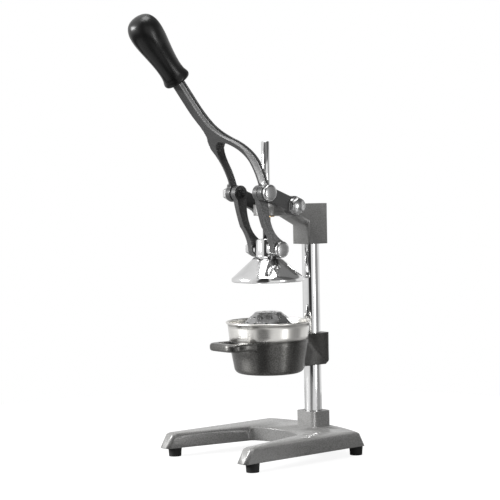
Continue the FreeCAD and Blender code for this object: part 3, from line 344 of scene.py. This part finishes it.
# bright metals
metalLooks = {
    "chromePlate": {"color": grey(0.78), "tint": grey(0.70), "clean": 0.04, "dull": 0.10, "lines": 0.0,
                    "height": 0.0, "anisotropic": 0.0, "rub": 0.0},
    "bellChrome": {"color": grey(0.80), "tint": grey(0.72), "clean": 0.05, "dull": 0.11, "lines": 1800.0,
                   "height": 0.000008, "anisotropic": 0.35, "rub": 0.0},
    "spunSteel": {"color": grey(0.80, 0.020), "tint": grey(0.66, 0.020), "clean": 0.24, "dull": 0.32,
                  "lines": 2400.0, "height": 0.00002, "anisotropic": 0.7, "rub": 0.0},
    "punchedSteel": {"color": grey(0.48), "tint": grey(0.32), "clean": 0.14, "dull": 0.24, "lines": 2200.0,
                     "height": 0.00002, "anisotropic": 0.4, "rub": 0.0},
    "zincPlate": {"color": grey(0.62), "tint": grey(0.40), "clean": 0.16, "dull": 0.34, "lines": 0.0,
                  "height": 0.0, "anisotropic": 0.0, "rub": 0.0006},
    "blackOxide": {"color": grey(0.05), "tint": grey(0.03), "clean": 0.28, "dull": 0.40, "lines": 0.0,
                   "height": 0.0, "anisotropic": 0.0, "rub": 0.0006},
    "bushBronze": {"color": (0.62, 0.42, 0.20, 1), "tint": (0.44, 0.28, 0.12, 1), "clean": 0.2, "dull": 0.34,
                   "lines": 1500.0, "height": 0.00001, "anisotropic": 0.2, "rub": 0.0},
}
metalTouch = {"broadSmear": 34.0, "fineSmear": 120.0, "rubBreakup": 60.0, "lineTint": 0.5, "lineRough": 0.08,
              "bump": 0.5}


def makeMetal(name, look):
    material, tree, shader = newMaterial(name, {"Metallic": 1.0})
    if look["anisotropic"]:
        spreadUpright(tree, shader, look["anisotropic"])
    smearSize = metalTouch["fineSmear"] if look["rub"] else metalTouch["broadSmear"]
    smear = useGroup(tree, handSmear, {"Size": smearSize, "Clean": look["clean"], "Dull": look["dull"]})
    color = mixColor(tree, smear["Mask"], look["color"], look["tint"])
    roughness = smear["Roughness"]
    if look["rub"]:
        edge = useGroup(tree, edgeRub, {"Reach": look["rub"], "Breakup": metalTouch["rubBreakup"]})
        tree.links.new(edge["Normal"], shader.inputs["Normal"])
    if look["lines"]:
        lines = useGroup(tree, turnedLines, {"Axis": pressAxis, "Fineness": look["lines"]})["Lines"]
        color = mixColor(tree, calc(tree, "MULTIPLY", lines, metalTouch["lineTint"]), color, look["tint"])
        roughness = calc(tree, "MULTIPLY_ADD", lines, metalTouch["lineRough"], roughness)
        bump = addNode(tree, "ShaderNodeBump", None,
                       {"Strength": metalTouch["bump"], "Distance": look["height"], "Height": lines})
        tree.links.new(bump.outputs[0], shader.inputs["Normal"])
    tree.links.new(color, shader.inputs["Base Color"])
    tree.links.new(roughness, shader.inputs["Roughness"])
    return material


# moulded plastic and rubber
softLooks = {
    "gripPlastic": {"color": grey(0.006), "worn": grey(0.012), "clean": 0.26, "dull": 0.36, "grain": 900.0,
                    "height": 0.00003, "gloss": 0.32, "size": 28.0},
    "footRubber": {"color": grey(0.010), "worn": grey(0.022), "clean": 0.55, "dull": 0.8, "grain": 1200.0,
                   "height": 0.00006, "gloss": 0.25, "size": 90.0},
}
softTouch = {"dustAmount": 0.04, "dust": grey(0.4), "bump": 0.4}


def makeMoulded(name, look):
    material, tree, shader = newMaterial(name, {"Specular IOR Level": look["gloss"]})
    smear = useGroup(tree, handSmear, {"Size": look["size"], "Clean": look["clean"], "Dull": look["dull"]})
    dust = useGroup(tree, restingDust, {"Amount": softTouch["dustAmount"]})
    grain = addNode(tree, "ShaderNodeTexNoise", None,
                    {"Vector": objectPlace(tree), "Scale": look["grain"], "Detail": 2.0})
    bump = addNode(tree, "ShaderNodeBump", None, {
        "Strength": softTouch["bump"], "Distance": look["height"], "Height": grain.outputs["Fac"]})
    worn = mixColor(tree, smear["Mask"], look["color"], look["worn"])
    tree.links.new(mixColor(tree, dust["Mask"], worn, softTouch["dust"]), shader.inputs["Base Color"])
    tree.links.new(smear["Roughness"], shader.inputs["Roughness"])
    tree.links.new(bump.outputs["Normal"], shader.inputs["Normal"])
    return material


materials = {name: makePaint(name, look) for name, look in paintLooks.items()}
materials.update({name: makeMetal(name, look) for name, look in metalLooks.items()})
materials.update({name: makeMoulded(name, look) for name, look in softLooks.items()})
print("materials made:", len(materials))


# all the pieces but the grip: smooth shading over merged copies of the frame's meshes
bodyOf = {node: body for body, members in frame["record"]["behaviour"]["bodies"].items() for node in members}
finishes = {
    "base_casting": "castGrey", "head_casting": "castGrey", "link_near": "linkGrey", "link_far": "linkGrey",
    "lever_casting": "leverGrey", "pot_holder": "potBlack", "post": "chromePlate", "ram_rod": "chromePlate",
    "press_bell": "bellChrome", "strainer_cup": "spunSteel", "strainer_cone": "punchedSteel",
    "guide_bush": "bushBronze", "grip": "gripPlastic", "rubber_feet": "footRubber",
    "link_journals": "blackOxide", "head_set_screws": "blackOxide", "pot_set_screws": "blackOxide",
}
skinSizes = {"weld": 1e-6, "creaseAngle": 32.0}


def smoothCopy(node, sizes):
    source = frame["nodes"][node]
    mesh = source.data.copy()
    mesh.name = node + "Skin"
    shell = bmesh.new()
    shell.from_mesh(mesh)
    bmesh.ops.remove_doubles(shell, verts=shell.verts, dist=sizes["weld"])
    bmesh.ops.dissolve_degenerate(shell, edges=shell.edges, dist=sizes["weld"])
    shell.to_mesh(mesh)
    shell.free()
    mesh.shade_smooth()
    mesh.set_sharp_from_angle(angle=math.radians(sizes["creaseAngle"]))
    mesh.materials.clear()
    mesh.materials.append(materials[finishes.get(node, "zincPlate")])
    piece = bpy.data.objects.new(node + "Skin", mesh)
    bpy.context.scene.collection.objects.link(piece)
    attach(piece, bodyOf[node])
    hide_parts(node)
    return piece


skins = {}
for node in frame["nodes"]:
    frame["nodes"][node].data.materials.clear()
    frame["nodes"][node].data.materials.append(materials[finishes.get(node, "zincPlate")])
    if node != "grip":
        skins[node] = smoothCopy(node, skinSizes)
print("castings, sheet metal and bolts dressed:", len(skins))


# cast lever: softened all round as its mould leaves it, the tines' outer front edges rounded away, and a painted
# highlight laid along its outer sides
# lengths in millimetres, the elbow's first value from the press axis, but grain in metres; slopes in degrees
leverCast = {"grain": 0.00066, "passes": 7, "easing": 0.5,
             "elbow": (-30.8, 383.0), "slope": 107.0, "lead": 13.0, "lowerBend": 127.0, "upperBend": 215.0,
             "forkSlope": 145.0, "barSlope": 128.0, "bar": 44.5, "depth": 11.2,
             "tineFrom": 24.0, "tineOver": 8.0, "edgeFrom": 13.0, "edgeOver": 6.0, "tineOuter": 42.0,
             "edgeIn": 7.6, "edgeCurve": 1.5, "edgeBack": 4.6, "nearLine": 1.5, "offFace": 1.0,
             "flange": 3.0, "flangeEdge": 0.5, "lightFade": 0.5, "fadeRate": 1.6, "lightElsewhere": 0.07,
             "batch": 20000}


def applyLayers(piece):
    # the piece as its modifiers leave it, as a plain mesh
    evaluated = piece.evaluated_get(bpy.context.evaluated_depsgraph_get())
    mesh = bpy.data.meshes.new_from_object(evaluated)
    piece.modifiers.clear()
    piece.data = mesh
    return mesh


def leverLine(sizes):
    # centre line of the bar and tines seen from the side, as closely set points with their directions
    y, z = sizes["elbow"]
    angle = math.radians(sizes["slope"])
    spots = []
    stretches = [(sizes["lead"], 0.0)]
    turnIn, turnOut = sizes["forkSlope"] - sizes["slope"], sizes["forkSlope"] - sizes["barSlope"]
    stretches += [(sizes["lowerBend"] * math.radians(turnIn), 1 / sizes["lowerBend"])]
    stretches += [(sizes["upperBend"] * math.radians(turnOut), -1 / sizes["upperBend"])]
    stretches += [(sizes["bar"], 0.0)]
    for length, curl in stretches:
        steps = max(2, round(length))
        for step in range(steps):
            spots.append((y, z, math.cos(angle), math.sin(angle)))
            middle = angle + curl * length / steps / 2
            y += math.cos(middle) * length / steps
            z += math.sin(middle) * length / steps
            angle += curl * length / steps
    spots.append((y, z, math.cos(angle), math.sin(angle)))
    return np.array(spots)


def softenLever(piece, sizes):
    skin = piece.modifiers.new("skin", "REMESH")
    skin.mode = "VOXEL"
    skin.voxel_size = sizes["grain"]
    mesh = applyLayers(piece)
    points = np.empty(len(mesh.vertices) * 3)
    mesh.vertices.foreach_get("co", points)
    points = points.reshape(-1, 3)
    line = leverLine(sizes)
    flat = points[:, 1:] / mm - np.array([pressAxis.y / mm, 0.0])
    nearest = np.empty(len(flat), dtype=int)
    for start in range(0, len(flat), sizes["batch"]):
        part = flat[start:start + sizes["batch"]]
        gaps = ((part[:, None, :] - line[None, :, :2]) ** 2).sum(axis=2)
        nearest[start:start + sizes["batch"]] = gaps.argmin(axis=1)
    spot = line[nearest]
    away = flat - spot[:, :2]
    # how far a point lies behind the front face, along the line past its nearest spot, and out to the side
    back = sizes["depth"] / 2 + away[:, 0] * spot[:, 3] - away[:, 1] * spot[:, 2]
    onward = away[:, 0] * spot[:, 2] + away[:, 1] * spot[:, 3]
    onLine = np.abs(onward) < sizes["nearLine"]
    onLine &= (back > -sizes["offFace"]) & (back < sizes["depth"] + sizes["offFace"])
    out = np.abs(points[:, 0]) / mm
    tine = np.clip((out - sizes["tineFrom"]) / sizes["tineOver"], 0.0, 1.0)
    tine *= np.clip((nearest - sizes["edgeFrom"]) / sizes["edgeOver"], 0.0, 1.0)
    reach = np.clip((out - (sizes["tineOuter"] - sizes["edgeIn"])) / sizes["edgeIn"], 0.0, 1.0)
    wanted = reach ** sizes["edgeCurve"] * sizes["edgeBack"] * tine
    push = np.where(onLine, np.maximum(wanted - np.maximum(back, 0.0), 0.0), 0.0) * mm
    points[:, 1] += push * spot[:, 3]
    points[:, 2] -= push * spot[:, 2]
    mesh.vertices.foreach_set("co", points.ravel())
    # painted highlight on the outer sides, strongest at the elbows, and a little of it on the rear arms
    share = 1.0 - sizes["lightFade"] * np.clip(nearest / len(line) * sizes["fadeRate"], 0.0, 1.0)
    beforeFlange = back < sizes["depth"] - sizes["flange"] - sizes["flangeEdge"]
    lightBand = np.where(onLine & beforeFlange, share, sizes["lightElsewhere"])
    paint = mesh.attributes.new("thinPaint", "FLOAT", "POINT")
    paint.data.foreach_set("value", lightBand)
    smooth = piece.modifiers.new("soften", "SMOOTH")
    smooth.factor = sizes["easing"]
    smooth.iterations = sizes["passes"]
    applyLayers(piece).shade_smooth()


softenLever(skins["lever_casting"], leverCast)
print("lever casting softened:", len(skins["lever_casting"].data.polygons), "faces")


# turned grip: one smooth profile about the lever's bar, with the seam that its mould leaves
# profile: share of the length from the collar, and radius in millimetres
gripSizes = {"length": 106.8, "turns": 72, "steps": 64, "seamHeight": 0.10, "seamWidth": 0.05,
             "boreRadius": 6.1, "creaseAngle": 50.0, "leanFrom": 40, "leanTo": 65, "leansPerDegree": 4,
             "profile": [(0.0, 18.4), (0.02, 19.3), (0.05, 18.8), (0.1, 17.2), (0.2, 16.6), (0.34, 17.7),
                         (0.48, 19.8), (0.62, 22.1), (0.74, 23.1), (0.83, 22.5), (0.9, 20.1), (0.955, 15.7),
                         (0.988, 8.6), (1.0, 0.0)]}


def profileRadius(points, share):
    last = len(points) - 1
    for i in range(last):
        if share <= points[i + 1][0]:
            before, start = points[max(i - 1, 0)], points[i]
            end, after = points[i + 1], points[min(i + 2, last)]
            span = end[0] - start[0]
            u = (share - start[0]) / span
            slopeIn = (end[1] - before[1]) / (end[0] - before[0]) * span
            slopeOut = (after[1] - start[1]) / (after[0] - start[0]) * span
            return ((2 * u ** 3 - 3 * u ** 2 + 1) * start[1] + (u ** 3 - 2 * u ** 2 + u) * slopeIn
                    + (3 * u ** 2 - 2 * u ** 3) * end[1] + (u ** 3 - u ** 2) * slopeOut)
    return points[last][1]


def findGripPlace(sizes):
    # the grip's line is the direction across which its points lie closest together
    points = [v.co for v in frame["nodes"]["grip"].data.vertices]
    perDegree = sizes["leansPerDegree"]
    spreads = []
    for tick in range(sizes["leanFrom"] * perDegree, sizes["leanTo"] * perDegree):
        lean = math.radians(tick / perDegree)
        across = Vector((0, math.sin(lean), math.cos(lean)))
        reach = [p.dot(across) for p in points]
        spreads.append((max(reach) - min(reach), lean, (max(reach) + min(reach)) / 2))
    _, lean, offset = min(spreads)
    onward = Vector((0, -math.cos(lean), math.sin(lean)))
    across = Vector((0, math.sin(lean), math.cos(lean)))
    root = min(p.dot(onward) for p in points)
    return across * offset + onward * root, onward, across


def makeGrip(sizes):
    root, onward, across = findGripPlace(sizes)
    shell = bmesh.new()
    rings = []
    shares = [0.5 - 0.5 * math.cos(math.pi * step / sizes["steps"]) for step in range(sizes["steps"])]
    for share in shares:
        radius = profileRadius(sizes["profile"], share) * mm
        ring = []
        for k in range(sizes["turns"]):
            angle = 2 * math.pi * k / sizes["turns"]
            seam = math.exp(-(math.sin(angle) / sizes["seamWidth"]) ** 2) * sizes["seamHeight"] * mm
            outward = across * math.sin(angle) + Vector((math.cos(angle), 0, 0))
            ring.append(shell.verts.new(root + onward * share * sizes["length"] * mm
                                        + outward * (radius + seam)))
        rings.append(ring)
    bore = [shell.verts.new(root + (across * math.sin(2 * math.pi * k / sizes["turns"])
                                    + Vector((math.cos(2 * math.pi * k / sizes["turns"]), 0, 0)))
                            * sizes["boreRadius"] * mm) for k in range(sizes["turns"])]
    tip = shell.verts.new(root + onward * sizes["length"] * mm)
    for k in range(sizes["turns"]):
        after = (k + 1) % sizes["turns"]
        for lower, upper in zip(rings, rings[1:]):
            shell.faces.new((lower[k], lower[after], upper[after], upper[k]))
        shell.faces.new((rings[-1][k], rings[-1][after], tip))
        shell.faces.new((bore[k], bore[after], rings[0][after], rings[0][k]))
    shell.faces.new(list(reversed(bore)))
    bmesh.ops.recalc_face_normals(shell, faces=shell.faces)
    mesh = bpy.data.meshes.new("grip")
    shell.to_mesh(mesh)
    shell.free()
    mesh.shade_smooth()
    mesh.set_sharp_from_angle(angle=math.radians(sizes["creaseAngle"]))
    mesh.materials.append(materials["gripPlastic"])
    piece = bpy.data.objects.new("turnedGrip", mesh)
    bpy.context.scene.collection.objects.link(piece)
    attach(piece, "lever")
    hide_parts("grip")
    return piece


makeGrip(gripSizes)
print("grip turned")


# what repeats: Geometry Nodes trees that add their pieces to what comes in
def newNodesTree(name, inputs):
    first, last = ("Geometry", "NodeSocketGeometry", None), ("Finish", "NodeSocketMaterial", None)
    return newGroup(name, "GeometryNodeTree", [first] + inputs + [last], [("Geometry", "NodeSocketGeometry")])


def joinIn(tree, given, out, shape):
    real = addNode(tree, "GeometryNodeRealizeInstances", None, {"Geometry": shape}).outputs[0]
    dressed = addNode(tree, "GeometryNodeSetMaterial", None,
                      {"Geometry": real, "Material": given["Finish"]}).outputs[0]
    joined = addNode(tree, "GeometryNodeJoinGeometry")
    tree.links.new(given["Geometry"], joined.inputs[0])
    tree.links.new(dressed, joined.inputs[0])
    tree.links.new(joined.outputs[0], out["Geometry"])


def growPiece(name, tree, rows, finish, body):
    host = bpy.data.objects.new(name, bpy.data.meshes.new(name))
    bpy.context.scene.collection.objects.link(host)
    # inputs are set by identifier, before the first evaluation
    sockets = {item.name: item.identifier for item in tree.interface.items_tree if item.in_out == "INPUT"}
    for row in rows:
        layer = host.modifiers.new(name, "NODES")
        layer.node_group = tree
        layer[sockets["Finish"]] = materials[finish]
        for label, value in row.items():
            layer[sockets[label]] = value
    mesh = applyLayers(host)
    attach(host, body)
    print(name + ":", len(mesh.polygons), "faces")
    return host


def circleOf(tree, points, radius):
    return addNode(tree, "GeometryNodeCurvePrimitiveCircle", None,
                   {"Resolution": points, "Radius": radius}).outputs[0]


# raised lips round the holes that are punched through the cone
def makeHoleLips(sizes):
    tree, given, out = newNodesTree("holeLips", [
        ("Middle", vectorSocket, (0.0, 0.0, 0.0)), ("Ring Radius", floatSocket, 0.03),
        ("Lean", floatSocket, 0.8), ("Turn", floatSocket, 0.0), ("Holes", "NodeSocketInt", 12),
        ("Hole Radius", floatSocket, 0.0017), ("Lip", floatSocket, 0.0004)])
    ring = addNode(tree, "GeometryNodeMeshCircle", None,
                   {"Vertices": given["Holes"], "Radius": given["Ring Radius"]}).outputs[0]
    spin = addNode(tree, "ShaderNodeCombineXYZ", None, {"Z": given["Turn"]}).outputs[0]
    placed = addNode(tree, "GeometryNodeTransform", None,
                     {"Geometry": ring, "Translation": given["Middle"], "Rotation": spin}).outputs[0]
    lip = addNode(tree, "GeometryNodeCurveToMesh", None, {
        "Curve": circleOf(tree, sizes["lipPoints"], given["Hole Radius"]),
        "Profile Curve": circleOf(tree, sizes["lipSides"], given["Lip"])}).outputs[0]
    spot = addNode(tree, "ShaderNodeVectorMath", {"operation": "SUBTRACT"},
                   {0: addNode(tree, "GeometryNodeInputPosition").outputs[0], 1: given["Middle"]}).outputs[0]
    parts = addNode(tree, "ShaderNodeSeparateXYZ", None, {0: spot}).outputs
    bearing = calc(tree, "ARCTAN2", parts["Y"], parts["X"])
    euler = addNode(tree, "ShaderNodeCombineXYZ", None, {"Y": given["Lean"], "Z": bearing}).outputs[0]
    facing = addNode(tree, "FunctionNodeEulerToRotation", None, {0: euler}).outputs[0]
    lips = addNode(tree, "GeometryNodeInstanceOnPoints", None,
                   {"Points": placed, "Instance": lip, "Rotation": facing}).outputs[0]
    joinIn(tree, given, out, addNode(tree, "GeometryNodeSetShadeSmooth", None, {"Geometry": lips}).outputs[0])
    return tree


# the cone's flank is an arc through its top, middle and base; lengths in millimetres
coneSizes = {"baseRadius": 51.0, "middleRadius": 32.0, "topRadius": 21.2, "baseHeight": 171.9,
             "middleHeight": 197.0, "topHeight": 207.1, "crownHeight": 209.6, "rings": 4, "holes": 12,
             "crownHoles": 6, "crownCircle": 9.0, "holeRadius": 1.85, "lip": 0.34,
             "firstRing": 0.7, "ringSpread": 0.5, "lipPoints": 16, "lipSides": 6}


def flankArc(sizes):
    points = [Vector((sizes[part + "Radius"], sizes[part + "Height"])) for part in ("top", "middle", "base")]
    (ax, ay), (bx, by), (cx, cy) = points
    turn = 2 * (ax * (by - cy) + bx * (cy - ay) + cx * (ay - by))
    squares = [p.length_squared for p in points]
    middle = Vector(((squares[0] * (by - cy) + squares[1] * (cy - ay) + squares[2] * (ay - by)) / turn,
                     (squares[0] * (cx - bx) + squares[1] * (ax - cx) + squares[2] * (bx - ax)) / turn))
    radius = (points[0] - middle).length
    bearings = [math.atan2(p.y - middle.y, p.x - middle.x) for p in points]
    return middle, radius, bearings[0], bearings[2]


def makeConeLips(sizes):
    middle, radius, first, last = flankArc(sizes)
    rows = []
    for ring in range(sizes["rings"]):
        place = first + (last - first) * (ring + sizes["firstRing"]) / (sizes["rings"] + sizes["ringSpread"])
        spot = middle + radius * Vector((math.cos(place), math.sin(place)))
        outward = (spot - middle).normalized()
        if outward.y < 0:
            outward = -outward
        rows.append({"Middle": (pressAxis.x, pressAxis.y, spot.y * mm), "Ring Radius": spot.x * mm,
                     "Lean": math.atan2(outward.x, outward.y), "Turn": math.pi * (ring % 2) / sizes["holes"],
                     "Holes": sizes["holes"]})
    rows.append({"Middle": (pressAxis.x, pressAxis.y, sizes["crownHeight"] * mm),
                 "Ring Radius": sizes["crownCircle"] * mm, "Lean": 0.0, "Turn": 0.0,
                 "Holes": sizes["crownHoles"]})
    for row in rows:
        row.update({"Hole Radius": sizes["holeRadius"] * mm, "Lip": sizes["lip"] * mm})
    growPiece("coneHoleLips", makeHoleLips(sizes), rows, "punchedSteel", bodyOf["strainer_cone"])


makeConeLips(coneSizes)


# threads on the bolt ends that show past their nuts
def makeThreads(ends):
    tree, given, out = newNodesTree("boltThread", [
        ("Start", vectorSocket, (0.0, 0.0, 0.0)), ("Thread Radius", floatSocket, 0.004),
        ("Pitch", floatSocket, 0.0008), ("Turns", floatSocket, 3.0), ("Ridge", floatSocket, 0.0003)])
    coil = addNode(tree, "GeometryNodeCurveSpiral", None, {
        "Resolution": ends["points"], "Rotations": given["Turns"],
        "Start Radius": given["Thread Radius"], "End Radius": given["Thread Radius"],
        "Height": calc(tree, "MULTIPLY", given["Pitch"], given["Turns"])}).outputs[0]
    ridge = addNode(tree, "GeometryNodeCurveToMesh", None, {
        "Curve": coil, "Fill Caps": True,
        "Profile Curve": circleOf(tree, ends["sides"], given["Ridge"])}).outputs[0]
    laid = addNode(tree, "GeometryNodeTransform", None, {
        "Geometry": ridge, "Translation": given["Start"], "Rotation": (0.0, math.pi / 2, 0.0)}).outputs[0]
    joinIn(tree, given, out, laid)
    return tree


# the pieces whose ends show past a nut on the far side; lengths in millimetres
threadSizes = {"fulcrum_bolt": {"radius": 4.85, "pitch": 0.8}, "elbow_stud": {"radius": 3.85, "pitch": 0.7},
               "ram_bolt": {"radius": 4.85, "pitch": 0.8}}
threadEnds = {"shown": 1.7, "inset": 0.2, "ridge": 0.28, "points": 28, "sides": 4}


def makeBoltThreads(sizes, ends):
    tree = makeThreads(ends)
    for node, look in sizes.items():
        low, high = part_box(node)
        start = (low.x + ends["inset"] * mm, (low.y + high.y) / 2, (low.z + high.z) / 2)
        row = {"Start": start, "Thread Radius": look["radius"] * mm, "Pitch": look["pitch"] * mm,
               "Turns": ends["shown"] / look["pitch"], "Ridge": ends["ridge"] * mm}
        growPiece(node + "Thread", tree, [row], "zincPlate", bodyOf[node])


makeBoltThreads(threadSizes, threadEnds)


# studio: white surround, pale floor, soft lamps
# what polished metal shows all round it, for the upright cards and for the floor: tone at each bearing,
# in degrees from the direction of the camera, with the picture's right as plus
cardStops = [(-180, 0.9), (-150, 0.78), (-115, 0.92), (-60, 0.88), (-38, 0.72), (-31, 0.05), (2, 0.04),
             (8, 0.9), (56, 1.0), (64, 0.34), (98, 0.30), (106, 0.9), (180, 0.9)]
floorStops = [(-180, 0.4), (-100, 0.7), (-38, 0.7), (-31, 0.04), (2, 0.03), (10, 0.8), (56, 1.0),
              (64, 0.3), (98, 0.25), (110, 0.5), (180, 0.4)]
cameraSide, cameraAhead = (0.627, 0.779, 0.0), (0.779, -0.627, 0.0)


def along(tree, place, vector):
    return addNode(tree, "ShaderNodeVectorMath", {"operation": "DOT_PRODUCT"},
                   {0: place, 1: vector}).outputs["Value"]


def standingCards(tree, place, stops):
    bearing = calc(tree, "ARCTAN2", along(tree, place, cameraSide), along(tree, place, cameraAhead))
    share = calc(tree, "MULTIPLY_ADD", bearing, 0.5 / math.pi, 0.5)
    cards = addNode(tree, "ShaderNodeValToRGB", None, {"Fac": share})
    ramp = cards.color_ramp
    while len(ramp.elements) < len(stops):
        ramp.elements.new(0.5)
    for element, (degrees, tone) in zip(ramp.elements, stops):
        element.position = degrees / 360 + 0.5
        element.color = (tone, tone, tone, 1)
    return cards.outputs["Color"]


floorSizes = {"radius": 0.75, "sides": 96, "tone": 0.11, "rough": 0.75, "glowNear": 0.90, "glowFar": 0.96,
              "glowFrom": 0.5, "glowTo": 3.0, "mirrored": 0.8}
floorMesh = bpy.data.meshes.new("floor")
floorShell = bmesh.new()
bmesh.ops.create_circle(floorShell, cap_ends=True, radius=floorSizes["radius"], segments=floorSizes["sides"])
floorShell.to_mesh(floorMesh)
floorShell.free()
floor = bpy.data.objects.new("floor", floorMesh)
bpy.context.scene.collection.objects.link(floor)
floorMaterial, floorTree, floorShader = newMaterial("floorPaper", {
    "Base Color": grey(floorSizes["tone"]), "Roughness": floorSizes["rough"], "Emission Color": grey(1.0)})
rays = addNode(floorTree, "ShaderNodeLightPath").outputs
floorPlace = objectPlace(floorTree)
reach = addNode(floorTree, "ShaderNodeVectorMath", {"operation": "LENGTH"}, {0: floorPlace}).outputs["Value"]
glow = remap(floorTree, reach, floorSizes["glowFrom"], floorSizes["glowTo"],
             floorSizes["glowNear"], floorSizes["glowFar"])
floorCards = standingCards(floorTree, floorPlace, floorStops)
mirrored = calc(floorTree, "MULTIPLY", floorCards, floorSizes["mirrored"])
seen = calc(floorTree, "MULTIPLY_ADD", rays["Is Glossy Ray"], mirrored, rays["Is Camera Ray"])
floorTree.links.new(calc(floorTree, "MULTIPLY", seen, glow), floorShader.inputs["Emission Strength"])
floorMesh.materials.append(floorMaterial)

cameraPlace = {"spot": (1.7128, -1.3472, 0.3905), "right": (0.6270, 0.7788, -0.0196),
               "back": (0.7788, -0.6260, 0.0407), "lens": 109.53, "sensor": 36.0}
toCamera = Vector(cameraPlace["back"]).normalized()
cameraRight = Vector(cameraPlace["right"])
cameraRight = (cameraRight - toCamera * cameraRight.dot(toCamera)).normalized()
cameraUp = toCamera.cross(cameraRight)

world = bpy.data.worlds.new("studio")
bpy.context.scene.world = world
world.use_nodes = True
sky = world.node_tree
sky.nodes.clear()
direction = addNode(sky, "ShaderNodeTexCoord").outputs["Generated"]

# over the standing cards lie a dark card overhead and a dark underside; each pair is the stretch where it fades
skyCards = {"overheadRise": (0.30, 0.42), "overheadSide": (0.05, 0.22), "overhead": 0.8, "under": (-0.50, -0.22),
            "dark": 0.06, "softFrom": -0.2, "softTo": 0.4, "softLow": 0.04, "softHigh": 0.34}
sideways, upward = along(sky, direction, cameraSide), along(sky, direction, (0.0, 0.0, 1.0))
overhead = calc(sky, "MULTIPLY", remap(sky, upward, *skyCards["overheadRise"]),
                remap(sky, sideways, *skyCards["overheadSide"]))
under = remap(sky, upward, *skyCards["under"], 1.0, 0.0)
cover = calc(sky, "MAXIMUM", calc(sky, "MULTIPLY", overhead, skyCards["overhead"]), under)
surround = mixColor(sky, cover, standingCards(sky, direction, cardStops), grey(skyCards["dark"]))
rays = addNode(sky, "ShaderNodeLightPath").outputs
shown = mixColor(sky, rays["Is Camera Ray"], surround, grey(1.0))
polished = calc(sky, "MAXIMUM", rays["Is Glossy Ray"], rays["Is Transmission Ray"])
visible = calc(sky, "MAXIMUM", rays["Is Camera Ray"], polished)
soft = remap(sky, upward, skyCards["softFrom"], skyCards["softTo"], skyCards["softLow"], skyCards["softHigh"])
plain = addNode(sky, "ShaderNodeBackground", None, {"Color": grey(1.0), "Strength": soft})
bright = addNode(sky, "ShaderNodeBackground", None, {"Color": shown, "Strength": 1.0})
mixed = addNode(sky, "ShaderNodeMixShader", None, {0: visible, 1: plain.outputs[0], 2: bright.outputs[0]})
addNode(sky, "ShaderNodeOutputWorld", None, {"Surface": mixed.outputs[0]})

# the back lamp only lights: polished metal doesn't show it
lamps = {
    "keyLamp": {"spot": (-1.05, -1.85, 1.02), "size": (1.2, 0.7), "watts": 84.0},
    "topLamp": {"spot": (0.10, -0.10, 2.30), "size": (1.2, 1.2), "watts": 34.0},
    "stripLamp": {"spot": (1.74, 0.28, 0.20), "size": (0.30, 0.80), "watts": 6.0},
    "backLamp": {"spot": (-1.30, 1.90, 1.30), "size": (0.9, 0.9), "watts": 12.0},
}
aim = Vector((0.0, 0.0, 0.28))
for name, look in lamps.items():
    data = bpy.data.lights.new(name, "AREA")
    data.shape = "RECTANGLE"
    data.size, data.size_y = look["size"]
    data.energy = look["watts"]
    lamp = bpy.data.objects.new(name, data)
    lamp.location = look["spot"]
    lamp.rotation_euler = (aim - Vector(look["spot"])).to_track_quat("-Z", "Y").to_euler()
    lamp.visible_glossy = name != "backLamp"
    bpy.context.scene.collection.objects.link(lamp)

camera = bpy.data.objects.new("camera", bpy.data.cameras.new("camera"))
camera.data.lens = cameraPlace["lens"]
camera.data.sensor_width = cameraPlace["sensor"]
camera.matrix_world = Matrix.Translation(cameraPlace["spot"]) @ Matrix(
    (cameraRight, cameraUp, toCamera)).transposed().to_4x4()
bpy.context.scene.collection.objects.link(camera)
bpy.context.scene.camera = camera
bpy.context.scene.view_settings.view_transform = "Standard"
print("studio set")
